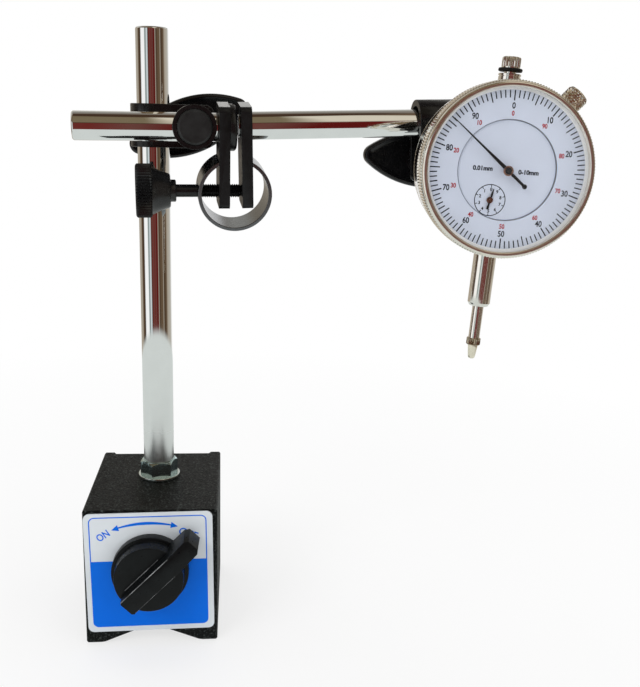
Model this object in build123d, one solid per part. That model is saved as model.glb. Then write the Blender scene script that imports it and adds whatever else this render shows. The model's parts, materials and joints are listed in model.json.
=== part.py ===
from build123d import *
import os
from math import atan2, cos, degrees, pi, radians, sin, sqrt, tan

# Dial indicator on a magnetic stand. Millimetres, +Z up, +Y away from the dial's face.
# The origin is the mouth of the vee groove under the base, at the base's centre.

# Clearances
running = 0.05            # radial gap of a shaft that turns or slides in a hole
face_gap = 0.05           # gap between flat faces that move past each other
swivel_gap = 0.3          # gap between parts that swing past each other
cut_past = 1.0            # how far a cutter runs past the face that it opens

# Magnetic base
base_width = 50.0
base_depth = 60.0
base_height = 55.0
base_chamfer = 0.6
spacer_width = 14.0
vee_mouth = 38.7
vee_slope = 22.0
switch_height = 31.7
rotor_bore = 31.0
recess_width = 40.0
recess_depth = 2.3
recess_ramp = 1.2

# Plates on the base
label_width = 47.8
label_height = 48.7
label_bottom = 5.6
label_shift = -0.4
label_turn = 0.9
label_corner = 2.3
label_thickness = 0.8
cover_side_gap = 0.5
cover_top_gap = 1.0
cover_corner = 2.0
cover_thickness = 1.2
rear_screw_radius = 1.5
rear_screw_head = 2.6
rear_screw_head_height = 0.9
rear_screw_depth = 6.0
rear_screw_inset = 4.0

# Switch
knob_disc_radius = 14.4
knob_disc_depth = 3.7
handle_angle = 45.0
handle_reach = 24.0
handle_tail = 12.2
handle_base_width = 9.6
handle_top_width = 7.8
handle_height = 10.45
handle_nose = 1.2
switch_shaft_radius = 3.5
switch_shaft_in_knob = 9.0
magnet_thickness = 10.0
magnet_side_gap = 0.4
rotor_front_gap = 1.2
rotor_rear_gap = 1.0

# Post
post_x = 0.6
post_y = 3.8
post_radius = 6.0
post_top = 229.5
post_chamfer = 0.5
stud_radius = 4.0
stud_depth = 7.0
washer_radius = 8.3
washer_thickness = 1.5
nut_across_flats = 13.0
nut_height = 6.0
nut_turn = 12.7

# Clamp clips, bent from one strip
strip_thickness = 2.3
strip_width = 15.6
strip_corner = 3.0
strip_tail = 8.0
clip_height = 194.8
arm_yaw = 5.815
post_bolt_reach = 13.8
gauge_bolt_reach = 14.0
gauge_bend_rise = 1.1

# Clamp barrels
sleeve_radius = 7.7
sleeve_bore = 6.2
eye_head_radius = 6.1
eye_head_stand = 1.0
eye_head_chamfer = 0.8
bolt_radius = 4.0
bolt_end_stand = 1.5
post_sleeve_length = 19.0
post_rod_reach = 20.3
gauge_sleeve_length = 10.0
gauge_stub_reach = 12.7
eye_wall = 1.5
wing_washer_radius = 7.6
wing_washer_thickness = 1.5

# Wing nuts
wing_half_length = 24.3
wing_half_width = 10.8
wing_tip_radius = 4.0
wing_thickness = 5.0
wing_stand = 2.2
wing_rim = 2.0
wing_dish = 0.9
wing_hub_radius = 7.5
wing_hub_length = 11.0
post_wing_turn = 20.2
gauge_wing_turn = 0.0

# Arm rods
rod_radius = 5.0
rod_chamfer = 0.5
arm_pitch = 0.75
rod_left_tail = 41.7

# Fine adjuster
adjuster_reach = 14.3
adjuster_roll = 10.0
leg_thickness = 3.9
leg_gap = 3.8
leg_depth = 14.0
leg_top = 8.05
leg_bottom = 28.3
leg_corner = 2.0
rest_tilt = 1.7
rest_rise = 0.5
band_radius = 13.35
band_thickness = 1.3
band_drop = 23.0
band_screw_hole = 3.0
rod_screw_radius = 2.5
rod_screw_head = 8.25
rod_screw_head_height = 2.4
rod_screw_slot = 2.0
rod_screw_slot_depth = 1.3
rod_screw_depth = 8.0
rivet_head = 4.0
rivet_head_height = 0.6

# Thumb screw of the fine adjuster, measured from the middle of the leg gap
thumb_wheel_start = -35.3
thumb_wheel_end = -29.5
thumb_cone_end = -22.9
thumb_collar_end = -20.9
thumb_shank_start = -34.3
thumb_shank_end = -13.1
thumb_wheel_radius = 9.7
thumb_flutes = 40
thumb_flute_radius = 0.55
thumb_cone_start_radius = 8.6
thumb_cone_end_radius = 5.85
thumb_collar_radius = 4.0
thumb_shank_radius = 2.3
thumb_thread_radius = 2.5

# Right arm and the stub behind the indicator
rod_right_length = 84.8
gauge_rod_tail = 9.9
stub_pitch = -3.84
stub_radius = 3.0
stub_tail = 10.0
stub_reach = 15.2
fork_root = 6.2
fork_root_thickness = 0.9
fork_cheek = 2.8
fork_width = 8.2
lug_screw_radius = 3.0
lug_screw_head = 4.1
lug_screw_head_height = 3.0
lug_screw_socket = 2.3

# Indicator housing, measured from the dial's plane backwards
indicator_turn = -8.9
stem_axis_depth = 15.0
lug_reach = 19.2
lug_width = 9.0
lug_thickness = 5.0
housing_radius = 27.6
housing_wall = 1.6
housing_front = 0.6
housing_back = 22.6
back_cover_thickness = 2.0
cover_screw_circle = 24.0
cover_screw_boss = 2.2
cover_screw_boss_length = 9.0
cover_screw_radius = 1.0
cover_screw_head = 1.8
cover_screw_head_height = 1.0
cover_screw_depth = 6.0
stem_radius = 4.0
stem_end = 48.1
stem_inner_end = 24.5
stem_boss_radius = 6.0
stem_seat = 28.2
stem_seat_radius = 5.0
stem_spigot_radius = 3.4
stem_chamfer = 0.6
collar_radius = 3.85
collar_top = 31.5
collar_inner_end = 24.5

# Bezel, crystal and dial
bezel_radius = 29.0
bezel_front = 2.9
bezel_back = 6.2
bezel_drum_front = 0.6
bezel_shoulder_radius = 28.1
bezel_bead_radius = 27.6
bezel_lip_radius = 27.0
bezel_lip_back = 2.4
bezel_step_radius = 26.9
crystal_radius = 27.4
crystal_edge = 0.9
crystal_rise = 1.6
dial_radius = 27.4
dial_thickness = 0.5
dial_drop = 0.8
dial_split_radius = 16.4
dial_split_gap = 0.1
dial_foot_radius = 0.8
dial_foot_x = 10.5
dial_foot_y = 6.5

# Bezel lock screw
lock_angle = 50.3
lock_depth = 8.0
lock_head_start = 29.5
lock_head_end = 35.0
lock_head_radius = 4.0
lock_screw_radius = 1.5
lock_boss_radius = 2.8
lock_boss_start = 22.7

# Movement: module of the rack, gear teeth and planes measured from the dial backwards
rack_travel = 10.0
rack_teeth = 16
wheel_teeth = 100
centre_teeth = 10
counter_x = -4.3
front_plate_front = 3.5
front_plate_thickness = 1.2
front_plate_radius = 26.0
back_plate_front = 10.7
back_plate_thickness = 1.2
back_plate_radius = 21.4
pillar_radius = 1.3
pillar_circle = 19.8
pillar_angles = (-23.6, 20.0, 156.4, 200.0)
wheel_front = 6.6
wheel_thickness = 0.8
centre_pinion_extra = 0.3
rack_pinion_length = 3.0
wheel_arbor_radius = 0.8
centre_arbor_radius = 0.5
take_up_arbor_radius = 0.6
tooth_addendum = 0.8
tooth_dedendum = 1.1
tooth_tip_share = 0.24
tooth_root_share = 0.58
hairspring_inner = 0.75
hairspring_outer = 5.0
hairspring_turns = 4
hairspring_strip = 0.12
hairspring_width = 0.5
hairspring_front = 5.2
hairspring_stud = 0.6

# Spindle, heights measured from the dial's centre
spindle_radius = 2.0
spindle_bottom = -59.9
spindle_top = 35.6
rack_back = 2.46
rack_width = 3.0
rack_margin = 1.5
guide_pin_radius = 0.8
guide_pin_height = 0.0
guide_pin_end = 8.6
guide_ear_x = 4.0
guide_ear_thickness = 1.2
guide_ear_margin = 1.8
guide_ear_depth = 7.2
contact_collar_radius = 2.5
contact_collar_length = 2.6
contact_end = -67.7
contact_cone_radius = 1.7
contact_tip_radius = 1.15
contact_stud_radius = 1.25
contact_stud_length = 4.0
buffer_radius = 4.2
buffer_bottom = 32.2
buffer_thickness = 1.1
cap_radius = 3.15
cap_top = 37.0
cap_ribs = 12
cap_rib_depth = 0.3
spring_x = 7.2
spring_bottom = -17.0
spring_coil_radius = 1.2
spring_wire_radius = 0.18
spring_turns = 9
spring_anchor_height = 1.4
spring_anchor_width = 3.0

# Hands
pointer_height = 1.3
pointer_thickness = 0.25
pointer_angle = 142.6
pointer_length = 24.85
pointer_tail = 8.3
pointer_tail_half = 0.9
pointer_neck_half = 0.55
pointer_root_half = 0.6
pointer_tip_half = 0.15
pointer_hub_radius = 1.65
pointer_hub_height = 0.9
counter_hand_rise = 0.4
counter_hand_thickness = 0.25
counter_hand_angle = 90.4
counter_hand_length = 3.1
counter_hand_tail = 3.2
counter_tail_half = 0.35
counter_root_half = 0.4
counter_tip_half = 0.1
counter_hub_radius = 0.95

# Worked out from the sizes above
module = rack_travel / (rack_teeth * pi)
tooth_pitch = pi * module
wheel_radius = wheel_teeth * module / 2
centre_radius = centre_teeth * module / 2
wheel_distance = wheel_radius + centre_radius
counter_y = -sqrt(wheel_distance**2 - counter_x**2)
counter_angle = atan2(counter_y, counter_x)
vee_rise = vee_mouth / 2 * tan(radians(vee_slope))
base_front = -base_depth / 2
rear_floor = base_depth / 2 - recess_depth
label_front = base_front - label_thickness
gauge_reach = rod_right_length - gauge_rod_tail
rotor_radius = rotor_bore / 2 - running
post_half_gap = post_radius + running
gauge_half_gap = rod_radius + running
clip_outer = post_half_gap + strip_thickness
gauge_clip_outer = gauge_half_gap + strip_thickness
leg_inner = leg_gap / 2
leg_outer = leg_inner + leg_thickness
back_cover_back = housing_back + back_cover_thickness
lug_axis_depth = stem_axis_depth + lug_reach
fork_slot_half = lug_thickness / 2 + 2 * face_gap
fork_half_height = fork_slot_half + fork_cheek
front_plate_back = front_plate_front + front_plate_thickness
back_plate_back = back_plate_front + back_plate_thickness
counter_hand_front = counter_hand_rise - dial_drop
rack_low = counter_y - rack_travel - rack_margin
rack_high = counter_y + rack_margin

# Frames. Each one is placed in the frame before it.
POST = Pos(post_x, post_y, 0)
HEAD = POST * Pos(0, 0, clip_height) * Rot(0, 0, arm_yaw)
EYE = HEAD * Pos(post_bolt_reach, -post_rod_reach, 0) * Rot(0, -arm_pitch, 0)
ADJUSTER = EYE * Pos(adjuster_reach, 0, 0) * Rot(adjuster_roll, 0, 0)
RIGHT = ADJUSTER * Pos(0, 0, rest_rise) * Rot(0, -rest_tilt, 0)
GAUGE_CLIP = RIGHT * Pos(gauge_reach, 0, 0) * Rot(-adjuster_roll, 0, 0)
BARREL = (
    GAUGE_CLIP
    * Pos(0, -gauge_stub_reach, -gauge_bolt_reach)
    * Rot(0, arm_pitch + rest_tilt - stub_pitch, 0)
)
LUG = BARREL * Pos(stub_reach, 0, 0) * Rot(0, 0, indicator_turn)
STEM = LUG * Pos(0, -lug_reach, 0)
DIAL = STEM * Pos(0, -stem_axis_depth, 0) * Rot(90, 0, 0)

# Arbors of the movement, placed in the dial's frame
COUNTER = Pos(counter_x, counter_y, 0)
TAKE_UP = Pos(-counter_x, -counter_y, 0)


# Simple solids

def block(x0, x1, y0, y1, z0, z1):
    centre = Pos((x0 + x1) / 2, (y0 + y1) / 2, (z0 + z1) / 2)
    return centre * Box(x1 - x0, y1 - y0, z1 - z0)


def bar_x(radius, x0, x1):
    return Pos((x0 + x1) / 2, 0, 0) * Rot(0, 90, 0) * Cylinder(radius, x1 - x0)


def bar_y(radius, y0, y1):
    return Pos(0, (y0 + y1) / 2, 0) * Rot(90, 0, 0) * Cylinder(radius, y1 - y0)


def bar_z(radius, z0, z1):
    return Pos(0, 0, (z0 + z1) / 2) * Cylinder(radius, z1 - z0)


def turned(points):
    """Solid of revolution about Z, from (radius, height) points."""
    return revolve(Plane.XZ * Polygon(*points, align=None), Axis.Z)


def plate(outline, z0, z1):
    """A flat outline in XY, given thickness from z0 to z1."""
    return extrude(Pos(0, 0, z0) * outline, z1 - z0)


# Magnetic base

def base_block():
    body = block(-base_width / 2, base_width / 2, base_front, -base_front, 0, base_height)
    body = chamfer(body.edges(), base_chamfer)
    vee = Polygon((-vee_mouth / 2, 0), (vee_mouth / 2, 0), (0, vee_rise), align=None)
    body -= extrude(Plane.XZ * vee, base_depth, both=True)
    half = recess_width / 2
    recess = Polygon(
        (-half, rear_floor),
        (half, rear_floor),
        (half + recess_ramp, base_depth / 2),
        (-half - recess_ramp, base_depth / 2),
        align=None,
    )
    body -= plate(recess, -cut_past, base_height + cut_past)
    body -= Pos(0, 0, switch_height) * bar_y(rotor_bore / 2, -base_depth, base_depth)
    return body


def rear_screw_places():
    side = recess_width / 2 - cover_side_gap - rear_screw_inset
    low = vee_rise + cover_top_gap + rear_screw_inset
    high = base_height - cover_top_gap - rear_screw_inset
    return [(x, z) for x in (-side, side) for z in (low, high)]


def pole(side):
    x0, x1 = sorted((side * spacer_width / 2, side * base_width))
    body = base_block() & block(x0, x1, -base_depth, base_depth, -cut_past, base_height + cut_past)
    for x, z in rear_screw_places():
        hole = bar_y(rear_screw_radius, rear_floor - rear_screw_depth, base_depth)
        body -= Pos(x, 0, z) * hole
    return body


def spacer(low, high):
    half = spacer_width / 2
    return base_block() & block(-half, half, -base_depth, base_depth, low, high)


def spacer_top():
    hole = bar_z(stud_radius + running, base_height - stud_depth - face_gap, base_height + cut_past)
    return spacer(switch_height, base_height + cut_past) - POST * hole


def label_plate():
    outline = Rot(0, 0, label_turn) * RectangleRounded(label_width, label_height, label_corner)
    place = Pos(label_shift, label_front, label_bottom + label_height / 2) * Rot(90, 0, 0)
    sheet = place * plate(outline, -label_thickness, 0)
    hole = bar_y(switch_shaft_radius + running, -base_depth, 0)
    return sheet - Pos(0, 0, switch_height) * hole


def rear_cover():
    width = recess_width - 2 * cover_side_gap
    low = vee_rise + cover_top_gap
    height = base_height - cover_top_gap - low
    outline = RectangleRounded(width, height, cover_corner)
    place = Pos(0, rear_floor, low + height / 2) * Rot(90, 0, 0)
    sheet = place * plate(outline, -cover_thickness, 0)
    for x, z in rear_screw_places():
        sheet -= Pos(x, 0, z) * bar_y(rear_screw_radius, 0, base_depth)
    return sheet


def rear_screws():
    seat = rear_floor + cover_thickness
    screws = []
    for x, z in rear_screw_places():
        shank = bar_y(rear_screw_radius, rear_floor - rear_screw_depth, seat)
        head = bar_y(rear_screw_head, seat, seat + rear_screw_head_height)
        screws.append(Pos(x, 0, z) * (shank + head))
    return Compound(children=screws)


# Switch, modelled about its own axis with +Z towards the front

def switch_frame():
    return Pos(0, label_front - face_gap, switch_height) * Rot(90, 0, 0)


def switch_knob():
    disc = bar_z(knob_disc_radius, 0, knob_disc_depth)
    disc = chamfer(disc.edges().group_by(Axis.Z)[-1], base_chamfer)
    half = handle_base_width / 2
    outline = Polygon(
        (-handle_tail, -half),
        (handle_reach - handle_nose, -half),
        (handle_reach, 0),
        (handle_reach - handle_nose, half),
        (-handle_tail, half),
        align=None,
    )
    outline = fillet(outline.vertices().group_by(Axis.X)[0], half / 2)
    draft = degrees(atan2((handle_base_width - handle_top_width) / 2, handle_height))
    handle = extrude(outline, handle_height, taper=draft)
    knob = disc + Rot(0, 0, handle_angle) * Pos(0, 0, knob_disc_depth) * handle
    knob -= bar_z(switch_shaft_radius, -cut_past, switch_shaft_in_knob)
    return switch_frame() * knob


def rotor_span():
    front = base_front + rotor_front_gap
    back = rear_floor - rotor_rear_gap
    return front, back


def switch_shaft():
    back = rotor_span()[1]
    front = label_front - face_gap - switch_shaft_in_knob
    return Pos(0, 0, switch_height) * bar_y(switch_shaft_radius, front, back)


def rotor_magnet():
    front, back = rotor_span()
    half_thick = magnet_thickness / 2
    half_wide = sqrt(rotor_radius**2 - half_thick**2) - magnet_side_gap
    magnet = block(-half_wide, half_wide, front, back, -half_thick, half_thick)
    return Pos(0, 0, switch_height) * (magnet - bar_y(switch_shaft_radius, front, back))


def rotor_cheeks():
    front, back = rotor_span()
    half = magnet_thickness / 2
    drum = bar_y(rotor_radius, front, back)
    upper = drum & block(-base_width, base_width, front, back, half, base_width)
    lower = drum & block(-base_width, base_width, front, back, -base_width, -half)
    place = Pos(0, 0, switch_height)
    return Compound(children=[place * upper, place * lower])


# Post

def post():
    seat = base_height + washer_thickness + nut_height
    shaft = bar_z(post_radius, seat, post_top)
    shaft = chamfer(shaft.edges().group_by(Axis.Z)[-1], post_chamfer)
    return POST * (shaft + bar_z(stud_radius, base_height - stud_depth, seat))


def post_washer():
    ring = bar_z(washer_radius, base_height, base_height + washer_thickness)
    return POST * (ring - bar_z(stud_radius, 0, post_top))


def post_nut():
    low = base_height + washer_thickness
    corner = nut_across_flats / sqrt(3)
    prism = plate(RegularPolygon(corner, 6), low, low + nut_height)
    crown = bar_z(corner, low, low + nut_height)
    crown = chamfer(crown.edges().group_by(Axis.Z)[-1], corner - nut_across_flats / 2)
    return POST * Rot(0, 0, nut_turn) * ((prism & crown) - bar_z(stud_radius, 0, post_top))


# Clamp parts. Clip: the rod lies along Z and the bolt along Y. Barrel: the rod lies along X.

def strip_clip(half_gap, bend_rise, bolt_reach):
    outer = half_gap + strip_thickness
    end = bolt_reach + strip_tail
    length = end + bend_rise
    middle = (end - bend_rise) / 2
    outline = Pos(-bend_rise, 0) * Circle(outer) + Pos(middle, 0) * Rectangle(length, 2 * outer)
    opening = Pos(-bend_rise, 0) * Circle(half_gap)
    opening += Pos(middle + cut_past, 0) * Rectangle(length + 2 * cut_past, 2 * half_gap)
    clip = plate(outline - opening, -strip_width / 2, strip_width / 2)
    corners = clip.edges().filter_by(Axis.Y).group_by(Axis.X)[-1]
    clip = fillet(corners, strip_corner)
    reach = outer + cut_past
    return clip - Pos(bolt_reach, 0, 0) * bar_y(bolt_radius + running, -reach, reach)


def clamp_sleeve(front, back, hole_radius):
    tube = bar_y(sleeve_radius, front, back) - bar_y(sleeve_bore, front - cut_past, back + cut_past)
    return tube - bar_x(hole_radius + running, -2 * sleeve_radius, 2 * sleeve_radius)


def eye_bolt(front, back, end, hole_radius):
    head = bar_y(eye_head_radius, front, back)
    head = chamfer(head.edges().group_by(Axis.Y)[0], eye_head_chamfer)
    bolt = head + bar_y(bolt_radius, back, end)
    return bolt - bar_x(hole_radius + running, -2 * sleeve_radius, 2 * sleeve_radius)


def ring_y(radius, hole, start, thickness):
    end = start + thickness
    return bar_y(radius, start, end) - bar_y(hole, start - cut_past, end + cut_past)


def lens(half_length, half_width, tip_radius):
    """Outline between two equal arcs, its two tips rounded."""
    tip = half_length - tip_radius
    arc = (tip**2 + half_width**2 - tip_radius**2) / (2 * (half_width - tip_radius))
    drop = arc - half_width
    shape = (Pos(0, -drop) * Circle(arc)) & (Pos(0, drop) * Circle(arc))
    return fillet(shape.vertices(), tip_radius)


def wing_nut(hole_radius):
    """Seated at y = 0, with its lens of a wing across the bolt."""
    wing = plate(lens(wing_half_length, wing_half_width, wing_tip_radius), 0, wing_thickness)
    inner = lens(wing_half_length - wing_rim, wing_half_width - wing_rim, wing_tip_radius / 2)
    wing -= plate(inner, wing_thickness - wing_dish, wing_thickness)
    wing -= plate(inner, 0, wing_dish)
    nut = Pos(0, 0, wing_stand) * wing + bar_z(wing_hub_radius, 0, wing_hub_length)
    return Rot(-90, 0, 0) * (nut - bar_z(hole_radius, -cut_past, wing_hub_length + cut_past))


# Post clamp, from the eye of its bolt

def post_clip():
    return HEAD * strip_clip(post_half_gap, 0, post_bolt_reach)


def post_sleeve_span():
    back = post_rod_reach - clip_outer - face_gap
    return back - post_sleeve_length, back


def post_wing_seat():
    return post_rod_reach + clip_outer + face_gap + wing_washer_thickness


def post_sleeve():
    front, back = post_sleeve_span()
    return EYE * clamp_sleeve(front, back, rod_radius)


def post_eye_bolt():
    front = post_sleeve_span()[0] - eye_head_stand
    end = post_wing_seat() + wing_hub_length + bolt_end_stand
    return EYE * eye_bolt(front, rod_radius + eye_wall, end, rod_radius)


def post_wing_washer():
    start = post_wing_seat() - wing_washer_thickness
    return EYE * ring_y(wing_washer_radius, bolt_radius, start, wing_washer_thickness)


def post_wing_nut():
    place = Pos(0, post_wing_seat() + face_gap, 0) * Rot(0, -post_wing_turn, 0)
    return EYE * place * wing_nut(bolt_radius + running)


# Left arm and fine adjuster

def rod_left():
    end = adjuster_reach - leg_outer
    rod = bar_x(rod_radius, -rod_left_tail, end)
    rod = chamfer(rod.edges().group_by(Axis.X)[0], rod_chamfer)
    return EYE * (rod - bar_x(rod_screw_radius, end - rod_screw_depth, end + cut_past))


def leg(x0, x1, low, high):
    body = block(x0, x1, -leg_depth / 2, leg_depth / 2, low, high)
    return fillet(body.edges().filter_by(Axis.X), leg_corner)


def leg_left():
    body = leg(-leg_outer, -leg_inner, -leg_bottom, leg_top)
    body -= bar_x(rod_screw_radius, -leg_outer - cut_past, 0)
    screw_hole = bar_x(thumb_thread_radius + running, -leg_outer - cut_past, 0)
    return ADJUSTER * (body - Pos(0, 0, -band_drop) * screw_hole)


def rod_screw():
    shank = bar_x(rod_screw_radius, -leg_outer - rod_screw_depth, -leg_inner)
    head = bar_x(rod_screw_head, -leg_inner, -leg_inner + rod_screw_head_height)
    head = chamfer(head.edges().group_by(Axis.X)[-1], rod_screw_slot_depth / 2)
    face = -leg_inner + rod_screw_head_height
    half = rod_screw_slot / 2
    slot = block(face - rod_screw_slot_depth, face + cut_past, -half, half, -leg_depth, leg_depth)
    return ADJUSTER * (shank + head - slot)


def spring_band():
    ring = bar_y(band_radius, -leg_depth / 2, leg_depth / 2)
    ring -= bar_y(band_radius - band_thickness, -leg_depth, leg_depth)
    ring = Pos(0, 0, -band_drop) * ring
    ring -= block(-leg_outer, 0, -leg_depth, leg_depth, -band_drop, 0)
    right = block(-leg_outer, leg_outer + face_gap, -leg_depth, leg_depth, -band_drop, 0)
    ring -= Pos(0, 0, rest_rise) * Rot(0, -rest_tilt, 0) * right
    hole = bar_x(band_screw_hole, -2 * band_radius, 0)
    return ADJUSTER * (ring - Pos(0, 0, -band_drop) * hole)


def right_leg_face():
    """Where the thumb screw's tip meets the right leg, along the screw's axis."""
    return leg_inner + (band_drop + rest_rise) * tan(radians(rest_tilt))


def thumb_screw():
    tip = right_leg_face() - face_gap
    screw = bar_x(thumb_thread_radius, thumb_shank_end, tip)
    screw = chamfer(screw.edges().group_by(Axis.X)[-1], rod_screw_slot_depth / 2)
    screw += bar_x(thumb_shank_radius, thumb_shank_start, thumb_shank_end)
    return ADJUSTER * Pos(0, 0, -band_drop) * screw


def thumb_knob():
    wheel = Circle(thumb_wheel_radius)
    flute = Circle(thumb_flute_radius)
    wheel -= PolarLocations(thumb_wheel_radius + thumb_flute_radius / 3, thumb_flutes) * flute
    knob = plate(wheel, thumb_wheel_start, thumb_wheel_end)
    knob += turned([
        (0, thumb_wheel_end),
        (thumb_cone_start_radius, thumb_wheel_end),
        (thumb_cone_end_radius, thumb_cone_end),
        (thumb_collar_radius, thumb_cone_end),
        (thumb_collar_radius, thumb_collar_end),
        (0, thumb_collar_end),
    ])
    knob -= bar_z(thumb_shank_radius, thumb_shank_start, 0)
    return ADJUSTER * Pos(0, 0, -band_drop) * Rot(0, 90, 0) * knob


# Right arm

def leg_right():
    body = leg(leg_inner, leg_outer, -leg_bottom - rest_rise, leg_top - rest_rise)
    return RIGHT * (body - bar_x(rod_screw_radius, 0, leg_outer + cut_past))


def rod_right():
    rod = bar_x(rod_radius, leg_outer, rod_right_length)
    rod = chamfer(rod.edges().group_by(Axis.X)[-1], rod_chamfer)
    rivet = bar_x(rod_screw_radius, leg_inner, leg_outer)
    head = bar_x(rivet_head, leg_inner - rivet_head_height, leg_inner)
    return RIGHT * (rod + rivet + head)


# Gauge clamp and the stub behind the indicator

def gauge_clip():
    return GAUGE_CLIP * Rot(0, 90, 0) * strip_clip(gauge_half_gap, gauge_bend_rise, gauge_bolt_reach)


def gauge_sleeve_span():
    back = gauge_stub_reach - gauge_clip_outer - face_gap
    return back - gauge_sleeve_length, back


def gauge_wing_seat():
    return gauge_stub_reach + gauge_clip_outer + face_gap + wing_washer_thickness


def gauge_sleeve():
    front, back = gauge_sleeve_span()
    return BARREL * clamp_sleeve(front, back, stub_radius)


def gauge_eye_bolt():
    front = gauge_sleeve_span()[0] - eye_head_stand / 2
    end = gauge_wing_seat() + wing_hub_length + bolt_end_stand
    return BARREL * eye_bolt(front, stub_radius + eye_wall, end, stub_radius)


def gauge_wing_washer():
    start = gauge_wing_seat() - wing_washer_thickness
    return BARREL * ring_y(wing_washer_radius, bolt_radius, start, wing_washer_thickness)


def gauge_wing_nut():
    turn = gauge_wing_turn + arm_pitch + rest_tilt - stub_pitch
    place = Pos(0, gauge_wing_seat() + face_gap, 0) * Rot(0, -turn, 0)
    return BARREL * place * wing_nut(bolt_radius + running)


def mounting_stub():
    root = stub_reach - fork_root
    half = fork_width / 2
    stub = bar_x(stub_radius, -stub_tail, root)
    stub = chamfer(stub.edges().group_by(Axis.X)[0], rod_chamfer / 2)
    web = root - fork_root_thickness
    fork = block(web, stub_reach, -half, half, -fork_half_height, fork_half_height)
    fork += Pos(stub_reach, 0, 0) * bar_z(half, -fork_half_height, fork_half_height)
    end = stub_reach + fork_width
    fork -= block(root, end, -fork_width, fork_width, -fork_slot_half, fork_slot_half)
    reach = fork_half_height + cut_past
    hole = Pos(stub_reach, 0, 0) * bar_z(lug_screw_radius, -reach, reach)
    return BARREL * (stub + fork - hole)


def lug_screw():
    screw = bar_z(lug_screw_radius, -fork_half_height, fork_half_height)
    top = fork_half_height + lug_screw_head_height
    head = bar_z(lug_screw_head, fork_half_height, top)
    socket = RegularPolygon(lug_screw_socket, 6)
    head -= plate(socket, top - lug_screw_head_height / 2, top + cut_past)
    return BARREL * Pos(stub_reach, 0, 0) * (screw + head)


# Indicator housing, in the dial's frame: x right, y up, z towards the viewer

def across(radius, y0, y1):
    """A round bar up and down the dial, on the stem's axis."""
    return Pos(0, 0, -stem_axis_depth) * bar_y(radius, y0, y1)


def lock_direction():
    return Pos(0, 0, -lock_depth) * Rot(0, 0, lock_angle)


def cover_screw_places():
    return [Rot(0, 0, 45 + 90 * i) * Pos(cover_screw_circle, 0, 0) for i in range(4)]


def housing():
    inner = housing_radius - housing_wall
    shell = bar_z(housing_radius, -housing_back, -housing_front)
    full = bar_z(housing_radius, -housing_back, -housing_front)
    shell -= bar_z(inner, -housing_back - cut_past, 0)
    extras = across(stem_boss_radius, -housing_radius, -stem_inner_end)
    extras += across(stem_boss_radius, collar_inner_end, housing_radius)
    extras += lock_direction() * bar_x(lock_boss_radius, lock_boss_start, housing_radius)
    for place in cover_screw_places():
        low = -housing_back
        extras += place * bar_z(cover_screw_boss, low, low + cover_screw_boss_length)
    shell += extras & full
    seat = across(stem_seat_radius, -stem_seat, -stem_inner_end)
    shell += seat - bar_z(inner, -housing_back - cut_past, 0)
    shell -= across(stem_spigot_radius, -stem_end, 0)
    shell -= across(collar_radius, 0, collar_top)
    shell -= lock_direction() * bar_x(lock_screw_radius + running, 0, lock_head_end)
    for place in cover_screw_places():
        hole = bar_z(cover_screw_radius, -housing_back - cut_past, -housing_back + cover_screw_depth)
        shell -= place * hole
    return DIAL * shell


def back_cover():
    cover = bar_z(housing_radius, -back_cover_back, -housing_back)
    half = lug_width / 2
    thick = lug_thickness / 2
    cover += block(-half, half, -thick, thick, -lug_axis_depth, -housing_back)
    cover += Pos(0, 0, -lug_axis_depth) * bar_y(half, -thick, thick)
    hole = Pos(0, 0, -lug_axis_depth) * bar_y(lug_screw_radius + running, -half, half)
    low = -back_cover_back
    for place in cover_screw_places():
        cover -= place * bar_z(cover_screw_radius, low - cut_past, 0)
        cover -= place * bar_z(cover_screw_head, low - cut_past, low + cover_screw_head_height)
    return DIAL * (cover - hole)


def cover_screws():
    low = -back_cover_back
    screw = bar_z(cover_screw_radius, low, -housing_back + cover_screw_depth)
    screw += bar_z(cover_screw_head, low, low + cover_screw_head_height)
    return Compound(children=[DIAL * place * screw for place in cover_screw_places()])


def stem():
    tube = across(stem_radius, -stem_end, -stem_seat)
    tube = chamfer(tube.edges().group_by(Axis.Y)[0], stem_chamfer)
    tube += across(stem_spigot_radius, -stem_seat, -stem_inner_end)
    return DIAL * (tube - across(spindle_radius + running, -stem_end - cut_past, 0))


def top_collar():
    tube = across(collar_radius, collar_inner_end, collar_top)
    tube = chamfer(tube.edges().group_by(Axis.Y)[-1], stem_chamfer)
    return DIAL * (tube - across(spindle_radius + running, 0, collar_top + cut_past))


def lock_screw():
    head = bar_x(lock_head_radius, lock_head_start, lock_head_end)
    ends = head.edges().group_by(Axis.X)
    head = chamfer(ends[0] + ends[-1], stem_chamfer)
    shank = bar_x(lock_screw_radius, lock_boss_start, lock_head_start)
    return DIAL * lock_direction() * (head + shank)


# Bezel, crystal and dial

def bezel():
    bore = housing_radius + running
    ring = turned([
        (bore, -bezel_back),
        (bezel_radius, -bezel_back),
        (bezel_radius, bezel_drum_front),
        (bezel_shoulder_radius, bezel_lip_back),
        (bezel_bead_radius, bezel_front),
        (bezel_lip_radius, bezel_lip_back + crystal_edge / 4),
        (bezel_lip_radius, bezel_lip_back),
        (crystal_radius, bezel_lip_back),
        (crystal_radius, bezel_lip_back - crystal_edge),
        (bezel_step_radius, bezel_lip_back - crystal_edge),
        (bezel_step_radius, 0),
        (bore, 0),
    ])
    return DIAL * ring


def domed(radius, height, rise):
    """Ball whose cap stands on a circle of that radius at that height."""
    ball = (radius**2 + rise**2) / (2 * rise)
    return Pos(0, 0, height + rise - ball) * Sphere(ball)


def crystal():
    low = bezel_lip_back - crystal_edge
    dome = bar_z(bezel_lip_radius, low, bezel_lip_back + crystal_rise)
    dome &= domed(bezel_lip_radius, bezel_lip_back, crystal_rise)
    dome += bar_z(crystal_radius, low, bezel_lip_back)
    inner = bezel_step_radius - crystal_edge
    return DIAL * (dome - domed(inner, low, crystal_rise))


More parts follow.
